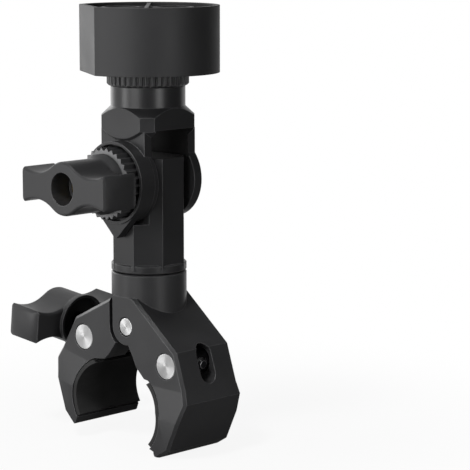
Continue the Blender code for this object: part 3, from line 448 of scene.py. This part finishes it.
# The jaws' coat on the post and the clevis head, in darker shades as painted shade. The round neck was turned
# before coating and so shines more, and the inside of the fork is painted flat black as shadow.
COATED_HEAD = BandedFinish(
    "coated_turned_aluminium", "#262627", "#2c2c2d", "#646465", (0.34, 0.42), patch_mm=22, grain_mm=1.1,
    grain_depth_mm=0.012, edge_mm=0.4, edge_wear_and_highlight=0.7, specular=0.3, band_z=0.1138, band_roughness=0.32,
    fork_half=0.0096, fork_z=(0.0961, 0.107))

# Injection-moulded glass-filled nylon: near black with soft satin patches and the mould's fine spark texture.
# The real texture is about 0.2 mm wide, drawn at 0.9 mm so that it shows.
MOULDED_NYLON = Finish(
    "moulded_glass_nylon", "#2b2b2c", "#313132", "#606061", (0.40, 0.52), patch_mm=14, grain_mm=0.9,
    grain_depth_mm=0.010, edge_mm=0.5, edge_wear_and_highlight=0.6, specular=0.3)

# Moulded ABS: charcoal, with a duller and more even surface than the knobs' nylon.
MOULDED_ABS = Finish(
    "moulded_matt_abs", "#282829", "#2e2e2f", "#525253", (0.50, 0.58), patch_mm=20, grain_mm=0.9,
    grain_depth_mm=0.010, edge_mm=0.4, edge_wear_and_highlight=0.35, specular=0.28)

# The drum's nylon: the faces along its axis, the ends of its teeth, are painted pale as highlight.
NYLON_WITH_PAINTED_ENDS = PaintedEndsFinish(
    "glass_nylon_with_painted_ends", "#2a2a2b", "#323233", "#646465", (0.36, 0.46), patch_mm=14, grain_mm=0.9,
    grain_depth_mm=0.010, edge_mm=0.3, edge_wear_and_highlight=0.5, specular=0.4, ends="#6c6c6d")

# Moulded EPDM rubber: flat black with a dusty bloom and a dull, soft grain.
PAD_RUBBER = Finish(
    "moulded_pad_rubber", "#2c2c2c", "#343434", "#3c3c3c", (0.66, 0.80), patch_mm=9, grain_mm=0.8,
    grain_depth_mm=0.02, edge_mm=0.25, edge_wear_and_highlight=0.3, specular=0.15)

# Black-oxide steel: dark blue-grey metal with a soft sheen, and near-white rims and thread crests that are
# partly wear and partly painted highlight.
BLACK_OXIDE_STEEL = Finish(
    "black_oxide_steel", "#2b2b2e", "#3a3a3d", "#f0f0f0", (0.28, 0.40), patch_mm=5, grain_mm=0.7,
    grain_depth_mm=0.006, edge_mm=0.35, edge_wear_and_highlight=1.0, metallic=1.0)

# Machined brass: warm yellow with slightly darker tarnish.
MACHINED_BRASS = Finish(
    "machined_brass", "#9c8348", "#b59a58", "#d6bd7c", (0.28, 0.40), patch_mm=4, grain_mm=0.6,
    grain_depth_mm=0.005, edge_mm=0.15, edge_wear_and_highlight=0.4, metallic=1.0)

# Rolled zinc-plated steel: bright threads with a slightly oily film.
PLATED_STEEL = Finish(
    "plated_steel", "#8d8e90", "#a9aaab", "#d0d0d0", (0.26, 0.38), patch_mm=5, grain_mm=0.6,
    grain_depth_mm=0.004, edge_mm=0.1, edge_wear_and_highlight=0.3, metallic=1.0)


class Bench:
    """The steps that many pieces share: choosing what an operator acts on, copying, rounding and shading."""

    @staticmethod
    def pick(*chosen: Piece) -> None:
        """Selects only these objects and makes the first one active.

        Args:
            *chosen: The objects.
        """
        for other in bpy.context.view_layer.objects:
            other.select_set(other in chosen)
        bpy.context.view_layer.objects.active = chosen[0]

    @staticmethod
    def apply(piece: Piece, kind: str, **settings: object) -> None:
        """Adds a modifier with its settings and applies it.

        Args:
            piece: The piece that is shaped.
            kind: The modifier's Blender type name.
            **settings: The modifier's own properties.
        """
        Bench.pick(piece)
        bpy.ops.object.modifier_add(type=kind)
        modifier = piece.modifiers[-1]
        for name, value in settings.items():
            setattr(modifier, name, value)
        bpy.ops.object.modifier_apply(modifier=modifier.name)

    @staticmethod
    def copy_of(node: str, name: str) -> Piece:
        """Copies a node of the part and joins its loose triangles into whole faces.

        Args:
            node: The node's name.
            name: The new piece's name.

        Returns:
            The copy, free of the frame.
        """
        Bench.pick(FRAME["nodes"][node])
        bpy.ops.object.duplicate()
        piece = bpy.context.active_object
        bpy.ops.object.parent_clear(type="CLEAR_KEEP_TRANSFORM")
        for key in [key for key in piece.keys() if key.startswith("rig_")]:
            del piece[key]
        piece.name = piece.data.name = name
        bpy.ops.object.mode_set(mode="EDIT")
        bpy.ops.mesh.select_all(action="SELECT")
        bpy.ops.mesh.customdata_custom_splitnormals_clear()
        bpy.ops.mesh.remove_doubles(threshold=WELD_DISTANCE)
        bpy.ops.mesh.dissolve_limited(angle_limit=radians(FLAT_WITHIN))
        bpy.ops.mesh.normals_make_consistent(inside=False)
        bpy.ops.object.mode_set(mode="OBJECT")
        return piece

    @staticmethod
    def soften(piece: Piece, width_mm: float, sharper_than: float = ROUND_OVER,
               smooth_under: float = SMOOTH_UNDER) -> None:
        """Rounds the sharp edges of a piece and shades the rest smooth.

        Args:
            piece: The piece.
            width_mm: The width of the rounding, in millimetres.
            sharper_than: The least angle of an edge that is rounded, in degrees.
            smooth_under: The greatest angle of an edge that is shaded smooth, in degrees.
        """
        Bench.apply(piece, "BEVEL", width=width_mm / 1000, segments=2, limit_method="ANGLE",
                    angle_limit=radians(sharper_than), use_clamp_overlap=True, miter_outer="MITER_ARC")
        Bench.pick(piece)
        bpy.ops.object.shade_smooth_by_angle(angle=radians(smooth_under))
        Bench.apply(piece, "WEIGHTED_NORMAL", mode="FACE_AREA", keep_sharp=True, weight=LARGE_FACE_WEIGHT)

    @staticmethod
    def settle(piece: Piece, place: Matrix) -> None:
        """Puts a piece that was made at the origin in its place, and writes the place into its mesh.

        Args:
            piece: The piece.
            place: Its place.
        """
        Bench.pick(piece)
        piece.matrix_world = place
        bpy.ops.object.transform_apply(location=True, rotation=True, scale=True)

    @staticmethod
    def place_along(start: Vector, direction: Vector) -> Matrix:
        """Returns the place of a piece whose foot is at `start` and whose Z axis points along `direction`."""
        turn = Vector((0, 0, 1)).rotation_difference(direction).to_matrix().to_4x4()
        return Matrix.Translation(start) @ turn


@dataclass
class SubAssembly:
    """A group of pieces that are reported together.

    Attributes:
        title: What the log calls the group.
    """

    title: str

    def dress(self, piece: Piece, material: Material, body: Body, slot: Slot, *nodes: str) -> None:
        """Gives a new piece its material and its body, and hides the nodes of the part that it replaces.

        Args:
            piece: The new piece.
            material: Its material.
            body: The body that it rides on.
            slot: The record's slot; not used.
            *nodes: The nodes of the part that it replaces.
        """
        piece.data.materials.clear()
        piece.data.materials.append(material)
        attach(piece, body.value)
        if nodes:
            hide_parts(*nodes)
        LOG.info("%s: %s rides on %s, %d faces", self.title, piece.name, body.value, len(piece.data.polygons))

    def repaint(self, material: Material, *nodes: str) -> None:
        """Gives nodes of the part, whose shapes stay, a better material.

        Args:
            material: The material.
            *nodes: The nodes' names.
        """
        for node in nodes:
            mesh = FRAME["nodes"][node].data
            mesh.materials.clear()
            mesh.materials.append(material)
            LOG.info("%s: %s keeps its shape", self.title, node)


@dataclass
class ClampJaws(SubAssembly):
    """The two coated castings and the rubber pads between them.

    Attributes:
        edge_mm: The rounding of the castings' edges.
        pad_edge_mm: The rounding of the pads' edges.
    """

    title: str = "jaws"
    edge_mm: float = 0.3
    pad_edge_mm: float = 0.2

    def build(self, coat: Material, rubber: Material) -> None:
        """Makes and dresses the castings and the pads.

        Args:
            coat: The castings' material.
            rubber: The pads' material.
        """
        for node, body in (("fixed_jaw", Body.CLAMP), ("moving_jaw", Body.MOVING_JAW)):
            casting = Bench.copy_of(node, node + "_casting")
            Bench.soften(casting, self.edge_mm)
            self.dress(casting, coat, body, Slot.CASTING, node)
        for node, body in (("fixed_pad", Body.CLAMP), ("moving_pad", Body.MOVING_JAW)):
            pad = Bench.copy_of(node, node + "_rubber")
            Bench.soften(pad, self.pad_edge_mm)
            self.dress(pad, rubber, body, Slot.PAD, node)


@dataclass
class LinkagePins(SubAssembly):
    """The pivot pin and the two trunnions, turned from steel rod.

    Attributes:
        edge_mm: The rounding of the pins' rims.
    """

    title: str = "pins"
    edge_mm: float = 0.25

    def build(self) -> None:
        """Makes each pin with turned rings about its own axis."""
        for node, body in (("pivot_pin", Body.CLAMP), ("fixed_trunnion", Body.FIXED_TRUNNION),
                           ("moving_trunnion", Body.MOVING_TRUNNION)):
            low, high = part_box(node)
            pin = Bench.copy_of(node, node + "_turned")
            Bench.soften(pin, self.edge_mm)
            # Turned stainless steel: bright end faces with fine rings and two fans of light, and sides
            # painted darker as shade.
            steel = TurnedFinish(
                "turned_stainless_" + node, "#b6b6b6", "#c4c4c4", "#dadada", (0.36, 0.44), patch_mm=4,
                grain_depth_mm=0.008, edge_mm=0.15, edge_wear_and_highlight=0.4, metallic=1.0,
                centre=tuple((low + high) / 2))
            self.dress(pin, steel.build(), body, Slot.PIN, node)


@dataclass
class ClampScrew(SubAssembly):
    """The threaded screw through both trunnions, and the sleeve at its knob.

    Attributes:
        start: The screw's end inside the knob.
        end: The screw's end past the fixed trunnion.
        radius: The thread's outer radius.
        depth: The height of the thread.
        pitch: The distance between two turns.
        foot_half: Half the width of the ridge's foot, as a share of the pitch.
        rooting: The height of the ridge from its foot inside the rod, as a share of the thread's height.
        end_edge: The chamfer at both ends.
        end_angle: The least angle of an edge that is chamfered, in degrees.
        rod_sides: The number of the rod's sides.
        turn_steps: The number of steps in one turn of the thread.
        sleeve_edge_mm: The rounding of the sleeve's edges.
    """

    title: str = "clamp screw"
    start: tuple[float, float, float] = (-0.046123, 0.0, 0.027979)
    end: tuple[float, float, float] = (0.029150, 0.0, 0.019736)
    radius: float = 0.0025
    depth: float = 0.00045
    pitch: float = 0.0008
    foot_half: float = 0.47
    rooting: float = 1.2
    end_edge: float = 0.0005
    end_angle: float = 60.0
    rod_sides: int = 32
    turn_steps: int = 20
    sleeve_edge_mm: float = 0.25

    def core(self, length: float) -> Piece:
        """Makes the rod inside the thread, with chamfered ends.

        Args:
            length: The screw's length.

        Returns:
            The rod, standing on the origin.
        """
        bpy.ops.mesh.primitive_cylinder_add(
            vertices=self.rod_sides, radius=self.radius - self.depth, depth=length,
            location=(0, 0, length / 2))
        rod = bpy.context.active_object
        bpy.ops.object.transform_apply(location=True, rotation=True, scale=True)
        Bench.apply(rod, "BEVEL", width=self.end_edge, segments=1, limit_method="ANGLE",
                    angle_limit=radians(self.end_angle))
        return rod

    def ridge(self, length: float) -> Piece:
        """Makes the thread as one winding ridge.

        Args:
            length: The screw's length.

        Returns:
            The ridge, with its ends closed.
        """
        turns = int((length - 2 * self.end_edge) / self.pitch) - 1
        half_foot, height = self.pitch * self.foot_half, self.depth * self.rooting
        bpy.ops.mesh.primitive_circle_add(vertices=4, radius=half_foot, fill_type="NOTHING")
        thread = bpy.context.active_object
        Bench.settle(thread, Matrix.Rotation(pi / 2, 4, "X"))
        Bench.settle(thread, Matrix.Diagonal((height / half_foot, 1, 1, 1)))
        foot = Vector((self.radius - height, 0, self.end_edge + self.pitch * 0.5))
        Bench.settle(thread, Matrix.Translation(foot))
        Bench.apply(thread, "SCREW", axis="Z", steps=self.turn_steps, render_steps=self.turn_steps,
                    iterations=turns, screw_offset=self.pitch, use_normal_calculate=True)
        bpy.ops.object.mode_set(mode="EDIT")
        bpy.ops.mesh.select_all(action="SELECT")
        bpy.ops.mesh.fill_holes(sides=4)
        bpy.ops.mesh.normals_make_consistent(inside=False)
        bpy.ops.object.mode_set(mode="OBJECT")
        return thread

    def build(self, steel: Material) -> None:
        """Makes the screw and dresses the sleeve.

        Args:
            steel: The material of both.
        """
        start, end = Vector(self.start), Vector(self.end)
        length = (end - start).length
        rod, thread = self.core(length), self.ridge(length)
        Bench.pick(rod, thread)
        bpy.ops.object.join()
        screw = bpy.context.active_object
        screw.name = screw.data.name = "threaded_clamp_screw"
        Bench.settle(screw, Bench.place_along(start, end - start))
        bpy.ops.object.shade_smooth_by_angle(angle=radians(SMOOTH_UNDER))
        self.dress(screw, steel, Body.SCREW, Slot.DARK_SCREW, "clamp_screw")
        sleeve = Bench.copy_of("thrust_sleeve", "turned_thrust_sleeve")
        Bench.soften(sleeve, self.sleeve_edge_mm)
        self.dress(sleeve, steel, Body.SCREW, Slot.DARK_SCREW, "thrust_sleeve")


@dataclass
class WingKnob(SubAssembly):
    """A moulded wing knob with its threaded insert.

    Attributes:
        node: The knob's node.
        body: The body that it turns with.
        inward: The direction from its outer face to its hub's back.
        span: The direction of its lobes.
        lobe_depth: The length of a lobe along the hub's axis.
        crown: The cuts that crown a lobe's end, each as its distance from the lobe's side and its slant in
            degrees.
        edge_mm: The rounding of its small edges.
        sharper_than: The least angle of an edge that is rounded, in degrees, above that of its waves' facets.
        smooth_under: The greatest angle of an edge that is shaded smooth, in degrees.
    """

    title: str = "knob"
    node: str = "clamp_knob"
    body: Body = Body.SCREW
    inward: tuple[float, float, float] = (0.994057, 0.0, -0.108857)
    span: tuple[float, float, float] = (0.0, 1.0, 0.0)
    lobe_depth: float = 0.0161
    crown: tuple[tuple[float, float], ...] = ((0.0054, 7.0), (0.0028, 20.0))
    edge_mm: float = 0.25
    sharper_than: float = 62.0
    smooth_under: float = 60.0

    def crown_lobes(self, knob: Piece) -> None:
        """Slants the ends of both lobes towards their sides, which the smooth shading turns into a crown.

        Args:
            knob: The knob.
        """
        inward, span = Vector(self.inward), Vector(self.span)
        points = [knob.matrix_world @ vertex.co for vertex in knob.data.vertices]
        front = min(inward.dot(point) for point in points)
        Bench.pick(knob)
        bpy.ops.object.mode_set(mode="EDIT")
        for outward in (span, -span):
            end = max(outward.dot(point) for point in points)
            for side, middleward in ((front, inward), (front + self.lobe_depth, -inward)):
                reach, (last_inset, last_slant) = end, self.crown[0]
                for inset, slant in self.crown:
                    reach -= (last_inset - inset) * tan(radians(last_slant))
                    last_inset, last_slant = inset, slant
                    bpy.ops.mesh.select_all(action="SELECT")
                    bpy.ops.mesh.bisect(
                        plane_co=outward * reach + inward * side + middleward * inset,
                        plane_no=outward * cos(radians(slant)) - middleward * sin(radians(slant)),
                        use_fill=True, clear_outer=True)
        bpy.ops.object.mode_set(mode="OBJECT")

    def build(self, nylon: Material, brass: Material) -> None:
        """Makes the knob and dresses its insert.

        Args:
            nylon: The knob's material.
            brass: The insert's material.
        """
        knob = Bench.copy_of(self.node, self.node + "_moulding")
        self.crown_lobes(knob)
        Bench.soften(knob, self.edge_mm, self.sharper_than, self.smooth_under)
        self.dress(knob, nylon, self.body, Slot.MOULDING, self.node)
        self.repaint(brass, self.node + "_insert")


@dataclass
class TiltHead(SubAssembly):
    """The post, the clevis head and the toothed drum between them.

    Attributes:
        edge_mm: The rounding of the castings' edges.
        tooth_edge_mm: The rounding of the drum's teeth.
    """

    title: str = "tilt head"
    edge_mm: float = 0.35
    tooth_edge_mm: float = 0.12

    def build(self, coat: Material, nylon_with_painted_ends: Material) -> None:
        """Makes the castings and the drum.

        Args:
            coat: The castings' material.
            nylon_with_painted_ends: The drum's material, with painted highlights on the ends of its teeth.
        """
        for node, body in (("tilt_post", Body.POST), ("clevis_head", Body.HEAD)):
            casting = Bench.copy_of(node, node + "_casting")
            Bench.soften(casting, self.edge_mm)
            self.dress(casting, coat, body, Slot.CASTING, node)
        drum = Bench.copy_of("tilt_drum", "toothed_drum")
        Bench.soften(drum, self.tooth_edge_mm)
        self.dress(drum, nylon_with_painted_ends, Body.TILT_KNOB, Slot.MOULDING, "tilt_drum")


@dataclass
class CupMount(SubAssembly):
    """The ribbed lock ring and the D-shaped cup.

    Attributes:
        rib_edge_mm: The rounding of the ring's ribs.
        cup_edge_mm: The rounding of the cup's edges.
    """

    title: str = "cup"
    rib_edge_mm: float = 0.12
    cup_edge_mm: float = 0.3

    def build(self, nylon: Material, abs_plastic: Material) -> None:
        """Makes the ring and the cup.

        Args:
            nylon: The ring's material.
            abs_plastic: The cup's material.
        """
        for node, body, edge, finish in (("lock_ring", Body.RING, self.rib_edge_mm, nylon),
                                         ("cup_adapter", Body.CUP, self.cup_edge_mm, abs_plastic)):
            moulding = Bench.copy_of(node, node + "_moulding")
            Bench.soften(moulding, edge)
            self.dress(moulding, finish, body, Slot.MOULDING, node)


@dataclass
class HiddenFixings(SubAssembly):
    """The washers, screws and inserts that show only from below or when the head tilts."""

    title: str = "fixings"

    def build(self, nylon: Material, steel: Material, dark: Material, brass: Material) -> None:
        """Dresses the nodes that keep their shapes.

        Args:
            nylon: The swivel washer's material.
            steel: The tilt bolt's, the stud's and the thrust washer's material.
            dark: The material of the screw and washer below the post.
            brass: The cup insert's material.
        """
        self.repaint(nylon, "swivel_washer")
        self.repaint(steel, "tilt_bolt", "tilt_thrust_washer", "cup_stud")
        self.repaint(dark, "base_screw", "base_spring_washer")
        self.repaint(brass, "cup_insert")


@dataclass(frozen=True)
class Softbox:
    """A square soft lamp that faces the object.

    Attributes:
        name: The lamp's name.
        azimuth: Its direction from the object, in degrees from +X towards +Y.
        elevation: Its height above the horizon, in degrees.
        size: The side of its panel.
        watts: Its power.
        distance: Its distance from the point that it faces.
        aim: The point that it faces, near the object's middle.
    """

    name: str
    azimuth: float
    elevation: float
    size: float
    watts: float
    distance: float = 0.9
    aim: tuple[float, float, float] = (0.0, 0.0, 0.07)

    def hang(self) -> None:
        """Hangs the lamp in its place."""
        data = bpy.data.lights.new(self.name, "AREA")
        data.size = self.size
        data.energy = self.watts
        lamp = bpy.data.objects.new(self.name, data)
        bpy.context.scene.collection.objects.link(lamp)
        around = Matrix.Rotation(radians(self.azimuth), 4, "Z")
        turn = around @ Matrix.Rotation(-radians(self.elevation), 4, "Y")
        outward = (turn @ Vector((1, 0, 0))).normalized()
        lamp.location = Vector(self.aim) + outward * self.distance
        lamp.rotation_euler = outward.to_track_quat("Z", "Y").to_euler()


# The key at the front left with a narrow strip beside it, a small one above the jaws' shoulders, a weak one
# overhead, a wide panel behind the left side, and a strip at the right.
SOFTBOXES = (
    Softbox("key_softbox", azimuth=276, elevation=10, size=0.5, watts=4.3),
    Softbox("left_strip", azimuth=242, elevation=2, size=0.26, watts=2.3),
    Softbox("shoulder_softbox", azimuth=278, elevation=56, size=0.16, watts=4.0),
    Softbox("top_softbox", azimuth=180, elevation=70, size=0.5, watts=0.6),
    Softbox("left_rim_panel", azimuth=170, elevation=10, size=0.6, watts=1.7),
    Softbox("right_strip", azimuth=351, elevation=2, size=0.28, watts=2.2),
)


@dataclass
class Studio:
    """The camera at the photograph's angle, the pale floor and the soft lamps.

    Attributes:
        target: The point that the camera looks at.
        toward_camera: The direction from the target to the camera.
        distance: The camera's distance from the target.
        lens: The camera's focal length in millimetres.
        sensor: The width of the camera's sensor in millimetres.
        clip: The nearest and the farthest distance that the camera shows.
        floor_z: The height of the floor, just below the lowest jaw.
        floor_radius: The floor's radius, which reaches past the camera.
        paper_lit: The floor's grey where it lights the object or shows in gloss, as sRGB hex.
        paper_seen: The floor's grey where the camera sees it, as sRGB hex.
        shadow_reach: The distances from the post between which the floor's shadow fades to white.
        shadow_glow: How much of the floor is white paper lit from behind where the shadow falls.
        sweep_azimuth: The direction of the studio's white side that gloss shows, in degrees from +X to +Y.
        sweep_grey: The brightness of the other side.
        sweep_reach: How far from the post, towards the grey side, the floor turns from white to grey.
        sweep_turn: The same for a direction, as its share towards the grey side.
        ambient: The strength of the light from all round.
    """

    target: tuple[float, float, float] = (0.02355, 0.02273, 0.06565)
    toward_camera: tuple[float, float, float] = (0.6862, -0.7111, 0.1530)
    distance: float = 0.7918
    lens: float = 159.6
    sensor: float = 36.0
    clip: tuple[float, float] = (0.01, 100.0)
    floor_z: float = -0.0149
    floor_radius: float = 6.0
    paper_lit: str = "#606060"
    paper_seen: str = "#e8e8e8"
    shadow_reach: tuple[float, float] = (0.05, 0.22)
    shadow_glow: float = 0.9
    sweep_azimuth: float = 168.0
    sweep_grey: float = 0.04
    sweep_reach: tuple[float, float] = (-0.15, -0.02)
    sweep_turn: tuple[float, float] = (-0.8, -0.2)
    ambient: float = 0.11

    def camera(self) -> None:
        """Sets the camera where the photograph was taken from."""
        back = Vector(self.toward_camera)
        data = bpy.data.cameras.new("photo_camera")
        data.sensor_width = self.sensor
        data.lens = self.lens
        data.clip_start, data.clip_end = self.clip
        camera = bpy.data.objects.new("photo_camera", data)
        bpy.context.scene.collection.objects.link(camera)
        camera.location = Vector(self.target) + self.distance * back
        camera.rotation_euler = (-back).to_track_quat("-Z", "Y").to_euler()
        bpy.context.scene.camera = camera

    def seen(self, tree: Tree, unseen: float, mirrored: Socket | float, direct: Socket | float) -> Socket:
        """Chooses a brightness by what looks at the studio.

        Args:
            tree: The node tree that gets the nodes.
            unseen: The brightness with which it lights a surface.
            mirrored: The brightness that gloss and glass show.
            direct: The brightness that the camera sees.

        Returns:
            The chosen brightness.
        """
        path = add_node(tree, "ShaderNodeLightPath").outputs
        gloss = add_node(tree, "ShaderNodeMath", {
            0: path["Is Glossy Ray"], 1: path["Is Transmission Ray"]}, operation="MAXIMUM").outputs["Value"]
        indirect = add_node(tree, "ShaderNodeMapRange", {
            "Value": gloss, "To Min": unseen, "To Max": mirrored}).outputs["Result"]
        return add_node(tree, "ShaderNodeMapRange", {
            "Value": path["Is Camera Ray"], "To Min": indirect, "To Max": direct}).outputs["Result"]

    def sweep(self, tree: Tree, place: Socket, fade: tuple[float, float]) -> Socket:
        """Makes the studio's sweep white behind the object's left and grey on the other side.

        Args:
            tree: The node tree that gets the nodes.
            place: A place on the floor, or a direction from the object.
            fade: How far towards the grey side the white ends and the grey begins.

        Returns:
            The sweep's brightness.
        """
        grey_side = Matrix.Rotation(radians(self.sweep_azimuth + 180), 3, "Z") @ Vector((1, 0, 0))
        ahead = add_node(tree, "ShaderNodeVectorMath", {
            0: place, 1: grey_side}, operation="DOT_PRODUCT").outputs["Value"]
        return add_node(tree, "ShaderNodeMapRange", {
            "Value": ahead, "From Min": fade[0], "From Max": fade[1], "To Min": 1.0,
            "To Max": self.sweep_grey}, interpolation_type="SMOOTHSTEP").outputs["Result"]

    def backdrop(self) -> None:
        """Makes the world white where the camera, gloss or glass sees it, and dim as a source of light."""
        world = bpy.data.worlds.new("studio")
        world.use_nodes = True
        bpy.context.scene.world = world
        tree = world.node_tree
        tree.nodes.clear()
        direction = add_node(tree, "ShaderNodeTexCoord").outputs["Generated"]
        strength = self.seen(tree, self.ambient, self.sweep(tree, direction, self.sweep_turn), 1.0)
        light = add_node(tree, "ShaderNodeBackground", {"Color": (1, 1, 1, 1), "Strength": strength})
        add_node(tree, "ShaderNodeOutputWorld", {"Surface": light.outputs["Background"]})

    def floor(self) -> None:
        """Lays the pale floor, which keeps the object's shadow and fades into the backdrop."""
        bpy.ops.mesh.primitive_circle_add(
            vertices=96, radius=self.floor_radius, fill_type="NGON", location=(0, 0, self.floor_z))
        floor = bpy.context.active_object
        floor.name = floor.data.name = "studio_floor"
        material = bpy.data.materials.new("pale_studio_floor")
        material.use_nodes = True
        tree = material.node_tree
        tree.nodes.clear()
        dim, pale = linear(self.paper_lit)[0], linear(self.paper_seen)[0]
        paper = add_node(tree, "ShaderNodeBsdfDiffuse", {
            "Color": self.seen(tree, dim, dim, pale)}).outputs["BSDF"]
        place = add_node(tree, "ShaderNodeTexCoord").outputs["Object"]
        glow = add_node(tree, "ShaderNodeEmission", {
            "Color": (1, 1, 1, 1), "Strength": 1.0}).outputs["Emission"]
        away = add_node(tree, "ShaderNodeVectorMath", {0: place}, operation="LENGTH").outputs["Value"]
        white = add_node(tree, "ShaderNodeMapRange", {
            "Value": away, "From Min": self.shadow_reach[0], "From Max": self.shadow_reach[1],
            "To Min": self.shadow_glow, "To Max": 1.0}, interpolation_type="SMOOTHSTEP").outputs["Result"]
        share = self.seen(tree, 0.0, self.sweep(tree, place, self.sweep_reach), white)
        mixed = add_node(tree, "ShaderNodeMixShader", {0: share, 1: paper, 2: glow}).outputs["Shader"]
        add_node(tree, "ShaderNodeOutputMaterial", {"Surface": mixed})
        floor.data.materials.append(material)

    def build(self) -> None:
        """Sets up the whole studio."""
        self.camera()
        for softbox in SOFTBOXES:
            softbox.hang()
        self.backdrop()
        self.floor()
        bpy.context.scene.view_settings.view_transform = "Standard"


def main() -> None:
    """Builds the studio and every sub-assembly."""
    logging.basicConfig(level=logging.INFO, format="%(message)s")
    coat, nylon, rubber = COATED_CASTING.build(), MOULDED_NYLON.build(), PAD_RUBBER.build()
    steel, dark, brass = PLATED_STEEL.build(), BLACK_OXIDE_STEEL.build(), MACHINED_BRASS.build()
    Studio().build()
    ClampJaws().build(coat, rubber)
    LinkagePins().build()
    ClampScrew().build(dark)
    WingKnob(title="clamp knob").build(nylon, brass)
    WingKnob(title="tilt knob", node="tilt_knob", body=Body.TILT_KNOB, inward=(0.0, 1.0, 0.0),
             span=(1.0, 0.0, 0.0)).build(nylon, brass)
    TiltHead().build(COATED_HEAD.build(), NYLON_WITH_PAINTED_ENDS.build())
    CupMount().build(nylon, MOULDED_ABS.build())
    HiddenFixings().build(nylon, steel, dark, brass)


if __name__ == "__main__":
    main()
